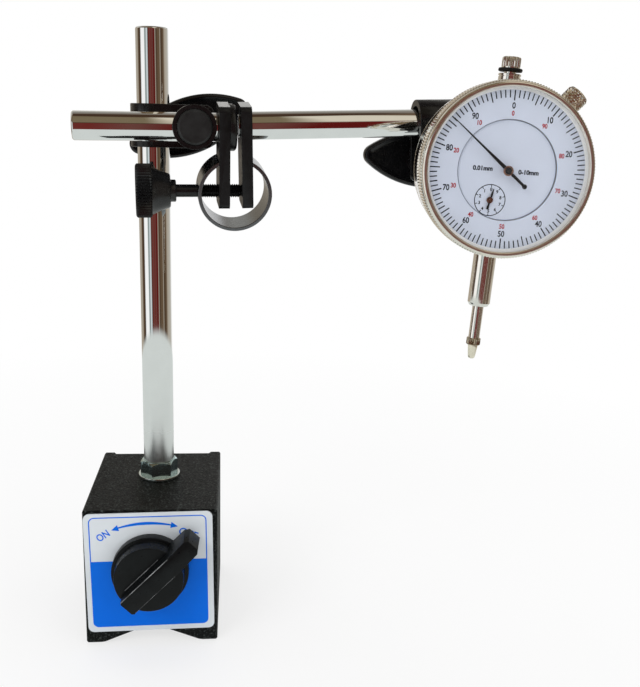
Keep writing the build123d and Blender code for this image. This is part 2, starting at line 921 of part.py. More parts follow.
def dial_ring():
    ring = bar_z(dial_radius, -dial_thickness, 0)
    return DIAL * (ring - bar_z(dial_split_radius + dial_split_gap, -cut_past, cut_past))


def dial_feet():
    return [(dial_foot_x, dial_foot_y), (-dial_foot_x, -dial_foot_y)]


def dial_centre():
    back = dial_drop + dial_thickness
    disc = bar_z(dial_split_radius, -back, -dial_drop)
    for x, y in dial_feet():
        disc += Pos(x, y, 0) * bar_z(dial_foot_radius, -front_plate_front, -back)
    disc -= bar_z(centre_arbor_radius + swivel_gap, -back - cut_past, 0)
    counter_hole = bar_z(wheel_arbor_radius + swivel_gap, -back - cut_past, 0)
    return DIAL * (disc - COUNTER * counter_hole)


# Movement

def gear_outline(teeth, phase):
    """Straight-sided teeth on the root circle, one tooth centred on the phase angle."""
    pitch_radius = teeth * module / 2
    root = pitch_radius - tooth_dedendum * module
    tip = pitch_radius + tooth_addendum * module
    step = 2 * pi / teeth
    points = []
    for i in range(teeth):
        middle = phase + i * step
        for radius, share in ((root, -tooth_root_share), (tip, -tooth_tip_share),
                              (tip, tooth_tip_share), (root, tooth_root_share)):
            angle = middle + share * step / 2
            points.append((radius * cos(angle), radius * sin(angle)))
    return Polygon(*points, align=None)


def mesh_phase(direction, phase, radius, other_radius):
    """Phase of a gear that meshes with one whose tooth is at phase, in that direction."""
    offset = radius * (phase - direction) + tooth_pitch / 2
    return direction + pi - offset / other_radius


def gear(teeth, phase, front, thickness):
    return plate(gear_outline(teeth, phase), -front - thickness, -front)


def arbor_holes(back, front):
    """Running holes for the movement's three arbors."""
    holes = bar_z(centre_arbor_radius + running, back, front)
    holes += COUNTER * bar_z(wheel_arbor_radius + running, back, front)
    return holes + TAKE_UP * bar_z(take_up_arbor_radius + running, back, front)


def front_plate():
    disc = bar_z(front_plate_radius, -front_plate_back, -front_plate_front)
    disc -= arbor_holes(-front_plate_back - cut_past, 0)
    stud_back = -hairspring_front - hairspring_width
    stud = bar_z(hairspring_stud, stud_back, -front_plate_back)
    return DIAL * (disc + TAKE_UP * Pos(hairspring_outer + hairspring_stud, 0, 0) * stud)


def guide_ear():
    """Ear behind the back plate whose slot keeps the spindle from turning."""
    low = guide_pin_height - guide_ear_margin
    high = guide_pin_height + rack_travel + guide_ear_margin
    side = guide_ear_x + guide_ear_thickness
    back = -back_plate_back - guide_ear_depth
    ear = block(guide_ear_x, side, low, high, back, -back_plate_back)
    half = guide_pin_radius + running
    top = guide_pin_height + rack_travel
    slot = block(0, guide_pin_end, guide_pin_height, top, -half, half)
    for y in (guide_pin_height, top):
        slot += Pos(0, y, 0) * bar_x(half, 0, guide_pin_end)
    return ear - Pos(0, 0, -stem_axis_depth) * slot


def back_plate():
    disc = bar_z(back_plate_radius, -back_plate_back, -back_plate_front)
    disc -= arbor_holes(-back_plate_back - cut_past, 0)
    half = spring_anchor_width / 2
    low = spring_bottom - spring_anchor_height
    back = -stem_axis_depth - half
    anchor = block(spring_x - half, spring_x + half, low, spring_bottom, back, -back_plate_back)
    return DIAL * (disc + guide_ear() + anchor)


def pillars():
    post_shape = bar_z(pillar_radius, -back_plate_front, -front_plate_back)
    return Compound(children=[
        DIAL * Rot(0, 0, angle) * Pos(pillar_circle, 0, 0) * post_shape for angle in pillar_angles
    ])


def rack_gear():
    wheel_phase = mesh_phase(counter_angle, 0, centre_radius, wheel_radius)
    pinion_front = stem_axis_depth - rack_pinion_length / 2
    wheel = gear(wheel_teeth, wheel_phase, wheel_front, wheel_thickness)
    wheel += gear(rack_teeth, 0, pinion_front, rack_pinion_length)
    back = -pinion_front - rack_pinion_length
    wheel += bar_z(wheel_arbor_radius, back, counter_hand_front + counter_hand_thickness)
    return DIAL * COUNTER * wheel


def centre_pinion():
    front = wheel_front - centre_pinion_extra
    pinion = gear(centre_teeth, 0, front, wheel_thickness + 2 * centre_pinion_extra)
    pinion += bar_z(centre_arbor_radius, -back_plate_back, pointer_height)
    return DIAL * pinion


def take_up_gear():
    phase = mesh_phase(counter_angle + pi, 0, centre_radius, wheel_radius)
    wheel = gear(wheel_teeth, phase, wheel_front, wheel_thickness)
    wheel += bar_z(take_up_arbor_radius, -back_plate_back, -front_plate_front)
    return DIAL * TAKE_UP * wheel


def hairspring():
    """Flat spiral from the take-up arbor out to its stud."""
    steps = 12 * hairspring_turns
    inner_side = []
    outer_side = []
    for i in range(steps + 1):
        angle = 2 * pi * hairspring_turns * i / steps
        radius = hairspring_inner + (hairspring_outer - hairspring_inner) * i / steps
        half = hairspring_strip / 2
        inner_side.append(((radius - half) * cos(angle), (radius - half) * sin(angle)))
        outer_side.append(((radius + half) * cos(angle), (radius + half) * sin(angle)))
    outline = Polygon(*inner_side, *reversed(outer_side), align=None)
    spiral = plate(outline, -hairspring_front - hairspring_width, -hairspring_front)
    return DIAL * TAKE_UP * spiral


# Plunger

def rack_bar():
    """Rack on the spindle's left side; a space faces the pinion's tooth at rest."""
    tip = -rack_back - (tooth_addendum + tooth_dedendum) * module
    points = [(-spindle_radius / 2, rack_high), (-spindle_radius / 2, rack_low)]
    count = int((rack_high - rack_low) / tooth_pitch) - 1
    below = int((counter_y - rack_low) / tooth_pitch - 0.5)
    first = counter_y + tooth_pitch / 2 - tooth_pitch * below
    points.append((-rack_back, rack_low))
    for i in range(count):
        middle = first + i * tooth_pitch
        for x, share in ((-rack_back, -tooth_root_share), (tip, -tooth_tip_share),
                         (tip, tooth_tip_share), (-rack_back, tooth_root_share)):
            points.append((x, middle + share * tooth_pitch / 2))
    points.append((-rack_back, rack_high))
    outline = Polygon(*points, align=None)
    half = rack_width / 2
    return plate(outline, -stem_axis_depth - half, -stem_axis_depth + half)


def spindle():
    rod = across(spindle_radius, spindle_bottom, spindle_top)
    rod += rack_bar()
    guide_hole = bar_x(guide_pin_radius, spindle_radius / 2, spindle_radius + cut_past)
    rod -= Pos(0, guide_pin_height, -stem_axis_depth) * guide_hole
    stud_end = spindle_bottom + contact_stud_length
    rod -= across(contact_stud_radius, spindle_bottom - cut_past, stud_end)
    return DIAL * rod


def guide_pin():
    pin = bar_x(guide_pin_radius, spindle_radius / 2, guide_pin_end)
    return DIAL * Pos(0, guide_pin_height, -stem_axis_depth) * pin


def contact_point():
    collar_end = spindle_bottom - contact_collar_length
    shape = turned([
        (0, contact_end),
        (contact_tip_radius * sin(pi / 4), contact_end),
        (contact_tip_radius, contact_end + contact_tip_radius / 2),
        (contact_cone_radius, collar_end),
        (contact_collar_radius, collar_end),
        (contact_collar_radius, spindle_bottom),
        (contact_stud_radius, spindle_bottom),
        (contact_stud_radius, spindle_bottom + contact_stud_length),
        (0, spindle_bottom + contact_stud_length),
    ])
    return STEM * shape


def buffer_ring():
    ring = bar_z(buffer_radius, buffer_bottom, buffer_bottom + buffer_thickness)
    return STEM * (ring - bar_z(spindle_radius, 0, cap_top))


def cap():
    flutes = PolarLocations(cap_radius + cap_rib_depth / 2, cap_ribs) * Circle(cap_rib_depth)
    outline = Circle(cap_radius) - flutes
    start = buffer_bottom + buffer_thickness
    body = plate(outline, start, cap_top)
    return STEM * (body - bar_z(spindle_radius, 0, spindle_top))


def return_spring():
    height = guide_pin_height - guide_pin_radius - spring_bottom - 2 * spring_wire_radius
    path = Helix(pitch=height / spring_turns, height=height, radius=spring_coil_radius)
    start = Plane(origin=path @ 0, z_dir=path % 0)
    coil = sweep(start * RegularPolygon(spring_wire_radius, 6), path)
    bottom = spring_bottom + spring_wire_radius
    return STEM * Pos(spring_x, 0, bottom) * coil


# Hands

def hand_outline(stations):
    """Outline of a hand along X, from (distance, half width) stations."""
    lower = [(x, -half) for x, half in stations]
    upper = [(x, half) for x, half in reversed(stations)]
    return Polygon(*lower, *upper, align=None)


def main_pointer():
    needle = hand_outline([
        (-pointer_tail, pointer_tail_half),
        (-pointer_hub_radius, pointer_neck_half),
        (0, pointer_root_half),
        (pointer_length, pointer_tip_half),
    ])
    hand = plate(needle, pointer_height, pointer_height + pointer_thickness)
    hand += bar_z(pointer_hub_radius, pointer_height, pointer_height + pointer_hub_height)
    return DIAL * Rot(0, 0, pointer_angle) * hand


def counter_hand():
    needle = hand_outline([
        (-counter_hand_tail, counter_tail_half),
        (0, counter_root_half),
        (counter_hand_length, counter_tip_half),
    ])
    top = counter_hand_front + counter_hand_thickness
    hand = plate(needle, counter_hand_front, top)
    hand += bar_z(counter_hub_radius, counter_hand_front - counter_hand_thickness / 2, top)
    hand -= bar_z(wheel_arbor_radius, -dial_drop, top + cut_past)
    return DIAL * COUNTER * Rot(0, 0, counter_hand_angle) * hand


def pieces():
    return {
        "pole_left": pole(-1),
        "pole_right": pole(1),
        "spacer_top": spacer_top(),
        "spacer_bottom": spacer(0, switch_height),
        "label_plate": label_plate(),
        "rear_cover": rear_cover(),
        "rear_screws": rear_screws(),
        "switch_knob": switch_knob(),
        "switch_shaft": switch_shaft(),
        "rotor_magnet": rotor_magnet(),
        "rotor_cheeks": rotor_cheeks(),
        "post": post(),
        "post_washer": post_washer(),
        "post_nut": post_nut(),
        "post_clip": post_clip(),
        "post_sleeve": post_sleeve(),
        "post_eye_bolt": post_eye_bolt(),
        "post_wing_washer": post_wing_washer(),
        "post_wing_nut": post_wing_nut(),
        "rod_left": rod_left(),
        "leg_left": leg_left(),
        "rod_screw": rod_screw(),
        "spring_band": spring_band(),
        "leg_right": leg_right(),
        "rod_right": rod_right(),
        "thumb_screw": thumb_screw(),
        "thumb_knob": thumb_knob(),
        "gauge_clip": gauge_clip(),
        "gauge_sleeve": gauge_sleeve(),
        "gauge_eye_bolt": gauge_eye_bolt(),
        "gauge_wing_washer": gauge_wing_washer(),
        "gauge_wing_nut": gauge_wing_nut(),
        "mounting_stub": mounting_stub(),
        "lug_screw": lug_screw(),
        "housing": housing(),
        "back_cover": back_cover(),
        "cover_screws": cover_screws(),
        "stem": stem(),
        "top_collar": top_collar(),
        "lock_screw": lock_screw(),
        "bezel": bezel(),
        "crystal": crystal(),
        "dial_ring": dial_ring(),
        "dial_centre": dial_centre(),
        "front_plate": front_plate(),
        "back_plate": back_plate(),
        "pillars": pillars(),
        "rack_gear": rack_gear(),
        "centre_pinion": centre_pinion(),
        "take_up_gear": take_up_gear(),
        "hairspring": hairspring(),
        "spindle": spindle(),
        "guide_pin": guide_pin(),
        "contact_point": contact_point(),
        "buffer_ring": buffer_ring(),
        "cap": cap(),
        "return_spring": return_spring(),
        "main_pointer": main_pointer(),
        "counter_hand": counter_hand(),
    }


def main():
    os.makedirs("parts", exist_ok=True)
    for name, shape in pieces().items():
        export_step(shape, f"parts/{name}.step")


if __name__ == "__main__":
    main()
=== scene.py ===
import json
from math import atan2, cos, inf, pi, radians, sin, tau

import bmesh
import bpy
from mathutils import Matrix, Vector


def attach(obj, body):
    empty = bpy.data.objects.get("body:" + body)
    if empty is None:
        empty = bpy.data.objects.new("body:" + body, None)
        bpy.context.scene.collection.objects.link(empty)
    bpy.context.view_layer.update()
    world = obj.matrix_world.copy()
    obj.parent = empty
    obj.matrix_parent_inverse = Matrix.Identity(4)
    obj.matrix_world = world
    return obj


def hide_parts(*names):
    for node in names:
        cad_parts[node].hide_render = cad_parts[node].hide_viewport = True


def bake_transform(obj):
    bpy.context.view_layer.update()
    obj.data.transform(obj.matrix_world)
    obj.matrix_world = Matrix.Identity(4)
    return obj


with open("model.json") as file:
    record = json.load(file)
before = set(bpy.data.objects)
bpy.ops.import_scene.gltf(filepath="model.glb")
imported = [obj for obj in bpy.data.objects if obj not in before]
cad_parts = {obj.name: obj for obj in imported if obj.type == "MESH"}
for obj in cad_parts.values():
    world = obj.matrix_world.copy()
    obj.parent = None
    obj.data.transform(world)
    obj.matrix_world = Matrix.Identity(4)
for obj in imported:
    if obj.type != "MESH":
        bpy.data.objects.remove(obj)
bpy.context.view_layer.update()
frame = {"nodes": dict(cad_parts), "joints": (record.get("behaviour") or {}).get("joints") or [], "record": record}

# Dial indicator on a magnetic stand. Shapes are given in millimetres in the frame of the joint
# that carries them, and every mesh is written in metres in the row frame.

MM = 0.001
nodes = frame["nodes"]
joints = {joint["name"]: joint for joint in frame["joints"]}
link = bpy.context.scene.collection.objects.link


# Frames of the moving parts, from their joints

def origin(name):
    return Vector(joints[name]["pos_m"])


def axis(name):
    return Vector(joints[name]["axis"]).normalized()


def place(start, x, y):
    """Millimetres in a frame with these x and y directions, to metres in the row frame."""
    x = x.normalized()
    z = x.cross(y).normalized()
    y = z.cross(x)
    turn = Matrix((x, y, z)).transposed().to_4x4()
    return Matrix.Translation(start) @ turn @ Matrix.Scale(MM, 4)


def column(local, i):
    """Unit vector along one of a frame's own directions."""
    return local.to_3x3().col[i].normalized()


def spin(angle, about="Z"):
    return Matrix.Rotation(radians(angle), 4, about)


Z_TO_X = spin(90, "Y")
Z_TO_Y = spin(-90, "X")

SWITCH = place(origin("switch_turn"), Vector((1, 0, 0)), Vector((0, 0, 1)))
POST = place(origin("post_turn"), Vector((1, 0, 0)), Vector((0, 1, 0)))
EYE = place(origin("arm_tilt"), axis("arm_slide"), -axis("arm_tilt"))
POST_WING = place(origin("post_wing_turn"), axis("arm_slide"), axis("post_wing_turn"))
SCREW = place(origin("fine_screw_turn"), axis("fine_screw_turn"), axis("fine_adjust"))
RIGHT = place(origin("gauge_clip_turn"), axis("gauge_clip_turn"), axis("fine_adjust"))
GAUGE_WING = place(origin("gauge_wing_turn"), axis("stub_turn"), axis("gauge_wing_turn"))
dial_up = axis("spindle_slide")
dial_out = -axis("pointer_turn")
DIAL = place(origin("pointer_turn"), dial_up.cross(dial_out), dial_up)
COUNTER = place(origin("counter_turn"), dial_up.cross(dial_out), dial_up)
LOCK = place(origin("bezel_lock_turn"), axis("bezel_lock_turn"), dial_out)


def extent(node, local):
    """Lowest and highest corner of a CAD node in a local frame, in millimetres."""
    back = local.inverted()
    points = [back @ vertex.co for vertex in nodes[node].data.vertices]
    low = Vector(min(point[i] for point in points) for i in range(3))
    high = Vector(max(point[i] for point in points) for i in range(3))
    return low, high


# Shader tools

def set_inputs(node, **values):
    """Sets sockets to constants. An underscore stands for the space in a socket's name."""
    for key, value in values.items():
        node.inputs[key.replace("_", " ")].default_value = value


def new_node(tree, kind, **values):
    node = tree.nodes.new("ShaderNode" + kind)
    set_inputs(node, **values)
    return node


def colour_ramp(tree, value, stops):
    ramp = new_node(tree, "ValToRGB")
    elements = ramp.color_ramp.elements
    while len(elements) < len(stops):
        elements.new(1.0)
    for element, (position, rgb) in zip(elements, stops):
        element.position = position
        element.color = (*rgb, 1)
    tree.links.new(value, ramp.inputs["Fac"])
    return ramp.outputs["Color"]


def map_range(tree, value, start, end, low=0.0, high=1.0):
    """The value, carried from the range start to end over to the range low to high."""
    node = new_node(tree, "MapRange", From_Min=start, From_Max=end, To_Min=low, To_Max=high)
    tree.links.new(value, node.inputs["Value"])
    return node.outputs["Result"]


def mix_shaders(tree, factor, first, second):
    """The first shader where the factor is 0, the second where it is 1."""
    node = new_node(tree, "MixShader")
    for output, target in zip((factor, first, second), node.inputs):
        tree.links.new(output, target)
    return node.outputs["Shader"]


def glow(tree, kind, rgb=(1, 1, 1), strength=1.0):
    """Light from an Emission or Background node."""
    return new_node(tree, kind, Color=(*rgb, 1), Strength=strength).outputs[0]


class Shader:
    """A node material whose textures use the object's own coordinates, in millimetres."""

    def __init__(self, name):
        self.material = bpy.data.materials.new(name)
        self.material.use_nodes = True
        self.tree = self.material.node_tree
        self.bsdf = self.tree.nodes["Principled BSDF"]
        self.set(IOR=1.5)
        source = new_node(self.tree, "TexCoord")
        mapping = new_node(self.tree, "Mapping", Scale=(1 / MM, 1 / MM, 1 / MM))
        self.join(source.outputs["Object"], mapping.inputs["Vector"])
        self.coordinates = mapping.outputs["Vector"]

    def join(self, output, target):
        self.tree.links.new(output, target)

    def set(self, **values):
        set_inputs(self.bsdf, **values)

    def noise(self, size, detail=3.0, roughness=0.5, distortion=0.0):
        node = new_node(self.tree, "TexNoise", Scale=1 / size, Detail=detail,
                        Roughness=roughness, Distortion=distortion)
        self.join(self.coordinates, node.inputs["Vector"])
        return node.outputs["Fac"]

    def colour(self, value, *stops):
        self.join(colour_ramp(self.tree, value, stops), self.bsdf.inputs["Base Color"])

    def rough(self, value, low, high, start=0.3, end=0.7):
        roughness = map_range(self.tree, value, start, end, low, high)
        self.join(roughness, self.bsdf.inputs["Roughness"])

    def bump(self, value, height, strength=1.0):
        node = new_node(self.tree, "Bump", Distance=height * MM, Strength=strength)
        self.join(value, node.inputs["Height"])
        self.join(node.outputs["Normal"], self.bsdf.inputs["Normal"])

    def surface(self, output):
        """Shows this output instead of the plain principled shader."""
        target = next(node for node in self.tree.nodes if node.type == "OUTPUT_MATERIAL")
        self.join(output, target.inputs["Surface"])


# Materials

def shade(rgb, factor):
    return tuple(min(1.0, part * factor) for part in rgb)


def metal(name, rgb, low, high, grain=6.0, spread=0.06, pure=1.0):
    shader = Shader(name)
    shader.set(Metallic=pure)
    cloud = shader.noise(grain, 4.0)
    shader.colour(cloud, (0.35, shade(rgb, 1 - spread)), (0.65, shade(rgb, 1 + spread)))
    shader.rough(shader.noise(grain / 5, 5.0), low, high)
    return shader.material


def black(name, rgb, low, high, relief, size, spread=0.25, gloss=0.4):
    shader = Shader(name)
    shader.set(Specular_IOR_Level=gloss)
    cloud = shader.noise(4.0, 5.0)
    shader.colour(cloud, (0.35, shade(rgb, 1 - spread)), (0.68, shade(rgb, 1 + spread)))
    shader.rough(shader.noise(1.6, 4.0), low, high)
    shader.bump(shader.noise(size), relief, 0.6)
    return shader.material


def wrinkle_paint():
    """Black wrinkle finish: small blisters, with painted glints: the colour turns grey on the blister tops."""
    shader = Shader("wrinkle_paint")
    shader.set(Specular_IOR_Level=0.13)
    grain = shader.noise(0.75, 4.0, 0.6, 0.6)
    # Painted glints: the lightest stop colours the blister tops grey.
    shader.colour(grain, (0.47, (0.002, 0.0025, 0.0025)), (0.56, (0.008, 0.0095, 0.009)),
                  (0.64, (0.052, 0.059, 0.056)))
    shader.rough(shader.noise(0.6, 4.0), 0.42, 0.6)
    shader.bump(grain, 0.35)
    return shader.material


def enamel(name, rgb, gloss=0.35, shine=0.4):
    shader = Shader(name)
    shader.set(Specular_IOR_Level=shine)
    shader.colour(shader.noise(9.0), (0.3, shade(rgb, 0.97)), (0.7, shade(rgb, 1.02)))
    shader.rough(shader.noise(2.0), gloss - 0.05, gloss + 0.08)
    return shader.material


# Heights on the post between which its finish changes
SATIN_BELOW, MIRROR_ABOVE = 72.0, 104.0
SATIN_ROUGHNESS, MIRROR_ROUGHNESS = 0.3, 0.045


def post_chrome():
    """Polished bar that turns satin towards its foot."""
    shader = Shader("post_chrome")
    shader.set(Metallic=1.0)
    cloud = shader.noise(6.0, 4.0)
    shader.colour(cloud, (0.35, (0.867, 0.872, 0.867)), (0.65, (0.893, 0.898, 0.893)))
    split = new_node(shader.tree, "SeparateXYZ")
    shader.join(shader.coordinates, split.inputs[0])
    shader.rough(split.outputs["Z"], SATIN_ROUGHNESS, MIRROR_ROUGHNESS, SATIN_BELOW, MIRROR_ABOVE)
    return shader.material


def crystal_glass():
    """Thin clear acrylic: what is behind shows through, and the rim takes the reflections."""
    shader = Shader("crystal_glass")
    shader.set(Base_Color=(0.95, 0.97, 1.0, 1.0), Specular_IOR_Level=0.6)
    shader.rough(shader.noise(5.0), 0.015, 0.05)
    tree = shader.tree
    clear = new_node(tree, "BsdfTransparent")
    facing = new_node(tree, "LayerWeight", Blend=0.12)
    shader.surface(mix_shaders(tree, facing.outputs["Facing"], clear.outputs["BSDF"],
                               shader.bsdf.outputs["BSDF"]))
    return shader.material


PAINT = wrinkle_paint()
BRASS = metal("brass", (0.72, 0.55, 0.26), 0.28, 0.42)
STEEL = metal("steel", (0.55, 0.55, 0.56), 0.28, 0.42)
CHROME = metal("chrome", (0.88, 0.885, 0.88), 0.025, 0.07, spread=0.015)
POST_CHROME = post_chrome()
NICKEL = metal("satin_nickel", (0.92, 0.87, 0.79), 0.08, 0.15, spread=0.03)
POLISHED = metal("polished_nickel", (0.91, 0.885, 0.835), 0.05, 0.1, 3.0, spread=0.03, pure=0.96)
ZINC = metal("zinc", (0.56, 0.72, 0.74), 0.14, 0.24)
BRIGHT_ZINC = metal("bright_zinc", (0.76, 0.85, 0.84), 0.14, 0.22, spread=0.04)
MAGNET = metal("magnet", (0.12, 0.12, 0.13), 0.5, 0.65)
COPPER = metal("hub_copper", (0.36, 0.19, 0.13), 0.22, 0.34)
OXIDE = black("black_oxide", (0.0055, 0.0055, 0.006), 0.2, 0.32, 0.012, 0.5)
SPRING = metal("spring_steel", (0.18, 0.19, 0.20), 0.16, 0.26, 3.0)
LEG = black("black_leg", (0.006, 0.006, 0.0065), 0.3, 0.42, 0.012, 0.5, gloss=0.3)
# Light grey caps on the leg tops: painted highlight of the light from above.
LEG_END_HIGHLIGHT = black("leg_end_painted_highlight", (0.33, 0.33, 0.325), 0.25, 0.4, 0.02, 0.5, spread=0.12)
CAST = black("black_enamel", (0.005, 0.005, 0.0055), 0.16, 0.28, 0.012, 0.8)
PLASTIC = black("black_plastic", (0.009, 0.009, 0.0095), 0.22, 0.34, 0.02, 0.6, gloss=0.5)
KNOB = black("knob_plastic", (0.0045, 0.0055, 0.006), 0.26, 0.38, 0.02, 0.6, gloss=0.18)
BOLT = black("bolt_head", (0.018, 0.0185, 0.0185), 0.3, 0.42, 0.02, 0.6, gloss=0.3)
RUBBER = black("black_rubber", (0.006, 0.006, 0.006), 0.5, 0.65, 0.04, 0.4)
HAND = black("black_hand", (0.006, 0.006, 0.006), 0.3, 0.42, 0.0, 1.0)
DIAL_WHITE = enamel("dial_enamel", (0.66, 0.71, 0.82), shine=0.3)
RIM_WHITE = enamel("dial_rim", (0.96, 0.97, 0.97))
LABEL_WHITE = enamel("label_silver", (0.74, 0.785, 0.82), 0.4)
INK = enamel("ink_black", (0.004, 0.005, 0.012), 0.5, 0.1)
# Grey-blue ring colour: painted shade of the gap between the dial's centre and its ring.
GROOVE_SHADE = enamel("dial_groove_shade", (0.17, 0.19, 0.26), 0.5, 0.1)
RED_INK = enamel("ink_red", (0.40, 0.008, 0.016), 0.5, 0.1)
BLUE_INK = enamel("ink_blue", (0.0, 0.155, 0.80), 0.4, 0.12)
GLASS = crystal_glass()

# The finish of each material slot, and of the CAD nodes that differ from their slot's
FINISHES = {
    "wrinkle_paint": PAINT, "brass": BRASS, "label": LABEL_WHITE, "steel": STEEL,
    "black_plastic": PLASTIC, "magnet": MAGNET, "chrome_rod": CHROME, "zinc": ZINC,
    "black_steel": OXIDE, "black_cast": CAST, "satin_chrome": NICKEL, "crystal": GLASS,
    "dial_print": DIAL_WHITE, "rubber": RUBBER, "black_hand": HAND,
}
OWN_FINISHES = {
    "spacer_top": PAINT, "spacer_bottom": PAINT, "spindle": POLISHED, "leg_left": LEG,
    "leg_right": LEG, "post_washer": BRIGHT_ZINC, "post_eye_bolt": BOLT, "gauge_eye_bolt": BOLT,
}


def paint_nodes():
    for part in frame["record"]["subparts"]:
        name = part["node"]
        data = nodes[name].data
        data.materials.clear()
        data.materials.append(OWN_FINISHES.get(name, FINISHES[part["material_slot"]]))


paint_nodes()


# Mesh tools

WELD = 0.01 * MM
CREASE = 35.0


def eased(profile, size=0.25, steps=3):
    """The same outline with each inner corner rounded; size is the length cut off its sides."""
    points = [Vector(point) for point in profile]
    out = [points[0]]
    for before, corner, after in zip(points, points[1:], points[2:]):
        back, ahead = before - corner, after - corner
        reach = min(size, back.length / 2.2, ahead.length / 2.2)
        start, end = corner + back.normalized() * reach, corner + ahead.normalized() * reach
        for i in range(steps + 1):
            t = i / steps
            out.append((1 - t) ** 2 * start + 2 * t * (1 - t) * corner + t ** 2 * end)
    return out + points[-1:]


def ring_pairs(rings, closed):
    """Each ring with the next one, and the last with the first if closed."""
    return list(zip(rings, rings[1:] + rings[:1] if closed else rings[1:]))


def bridge(mesh, lower, upper):
    """Faces between two rings of as many corners."""
    for i in range(len(lower)):
        j = (i + 1) % len(lower)
        mesh.faces.new((lower[i], lower[j], upper[j], upper[i]))


def thicken(mesh, offset):
    """Gives flat faces a thickness."""
    raised = bmesh.ops.extrude_face_region(mesh, geom=mesh.faces[:])
    lifted = [item for item in raised["geom"] if isinstance(item, bmesh.types.BMVert)]
    bmesh.ops.translate(mesh, verts=lifted, vec=offset)
    bmesh.ops.recalc_face_normals(mesh, faces=mesh.faces)


def turned(profile, segments=96, wave=None, closed=False):
    """Mesh of revolution about Z from (radius, height) points. wave gives, for an angle, a height
    and a radius, how far the surface lies inside that radius."""
    mesh = bmesh.new()
    rings = []
    for radius, height in profile:
        if radius < 1e-6:
            rings.append([mesh.verts.new((0, 0, height))])
            continue
        ring = []
        for i in range(segments):
            angle = tau * i / segments
            reach = radius - (wave(angle, height, radius) if wave else 0.0)
            ring.append(mesh.verts.new((reach * cos(angle), reach * sin(angle), height)))
        rings.append(ring)
    for lower, upper in ring_pairs(rings, closed):
        if len(lower) > 1 and len(upper) > 1:
            bridge(mesh, lower, upper)
            continue
        for i in range(segments):
            j = (i + 1) % segments
            if len(lower) == 1:
                mesh.faces.new((lower[0], upper[j], upper[i]))
            else:
                mesh.faces.new((lower[i], lower[j], upper[0]))
    bmesh.ops.recalc_face_normals(mesh, faces=mesh.faces)
    return mesh


def loft(loops, closed=False):
    """Mesh through matching loops of points, capped at both ends or closed into a ring."""
    mesh = bmesh.new()
    rings = [[mesh.verts.new(point) for point in loop] for loop in loops]
    for lower, upper in ring_pairs(rings, closed):
        bridge(mesh, lower, upper)
    if not closed:
        mesh.faces.new(rings[0])
        mesh.faces.new(rings[-1])
    bmesh.ops.recalc_face_normals(mesh, faces=mesh.faces)
    return mesh


def slab(outline, low, high):
    return loft([[(x, y, z) for x, y in outline] for z in (low, high)])


def merge(*meshes):
    """One mesh of them all. The meshes given are used up."""
    whole = bmesh.new()
    for mesh in meshes:
        data = bpy.data.meshes.new("step")
        mesh.to_mesh(data)
        mesh.free()
        whole.from_mesh(data)
        bpy.data.meshes.remove(data)
    return whole


def add(name, mesh, local, body, material, stands_for=(), crease=CREASE, bevel=0.0):
    """Puts a mesh in its frame, with its finish, on a body if one is given."""
    data = bpy.data.meshes.new(name)
    mesh.to_mesh(data)
    mesh.free()
    data.transform(local)
    data.materials.append(material)
    data.shade_smooth()
    data.set_sharp_from_angle(angle=radians(crease))
    piece = bpy.data.objects.new(name, data)
    link(piece)
    if bevel:
        add_bevel(piece, bevel)
    if body:
        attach(piece, body)
    if stands_for:
        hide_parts(*stands_for)
    return piece


def add_bevel(piece, size, steps=2):
    edge = piece.modifiers.new("edge", "BEVEL")
    edge.width = size * MM
    edge.segments = steps
    edge.limit_method = "ANGLE"
    edge.angle_limit = radians(CREASE)
    edge.harden_normals = True


def text_mesh(words, height, width=1.0, thickness=0.03, bold=0.0):
    """Words as a thin closed mesh of that letter height, centred on the origin."""
    curve = bpy.data.curves.new("words", "FONT")
    curve.body = words
    curve.align_x = "CENTER"
    curve.resolution_u = 4
    curve.offset = bold
    item = bpy.data.objects.new("words", curve)
    link(item)
    bpy.context.view_layer.update()
    flat = bpy.data.meshes.new_from_object(item)
    bpy.data.objects.remove(item)
    bpy.data.curves.remove(curve)
    top = max(vertex.co.y for vertex in flat.vertices)
    bottom = min(vertex.co.y for vertex in flat.vertices)
    scale = height / (top - bottom)
    mesh = bmesh.new()
    mesh.from_mesh(flat)
    bpy.data.meshes.remove(flat)
    middle = Matrix.Translation((0, -(top + bottom) / 2 * scale, 0))
    mesh.transform(middle @ Matrix.Diagonal((scale * width, scale, 1, 1)))
    thicken(mesh, (0, 0, thickness))
    return mesh


def moved(mesh, x, y, z, turn=0.0):
    mesh.transform(Matrix.Translation((x, y, z)) @ spin(turn))
    return mesh


def moved_out(mesh, radius, angle, z, turn=0.0):
    """Moves a mesh away from the middle, at an angle in degrees."""
    return moved(mesh, radius * cos(radians(angle)), radius * sin(radians(angle)), z, turn)


def strip(x0, y0, x1, y1, width, low, high):
    """A straight bar between two points, lying flat."""
    along = Vector((x1 - x0, y1 - y0)).normalized() * width / 2
    side = Vector((-along.y, along.x))
    corners = [(x0 - side.x, y0 - side.y), (x1 - side.x, y1 - side.y),
               (x1 + side.x, y1 + side.y), (x0 + side.x, y0 + side.y)]
    return slab(corners, low, high)


def spoke(angle, inner, outer, width, low, high):
    """A bar that points away from the middle, at an angle in degrees."""
    x, y = cos(radians(angle)), sin(radians(angle))
    return strip(inner * x, inner * y, outer * x, outer * y, width, low, high)


def band(radius, width, low, high, segments=128):
    inner, outer = radius - width / 2, radius + width / 2
    return turned([(inner, low), (outer, low), (outer, high), (inner, high)], segments, closed=True)


def zigzag(value):
    """0 at whole numbers, 1 halfway between them."""
    return 1 - abs(2 * (value % 1.0) - 1)


def ridges(count, depth, smallest, start=-inf, end=inf, shift=0.0, power=1.0):
    """A wave for turned: straight ridges between two heights, where the radius is at least smallest."""
    def wave(angle, height, radius):
        if radius < smallest or not start < height < end:
            return 0.0
        return depth * zigzag(angle / tau * count + shift) ** power
    return wave


# Polished bars

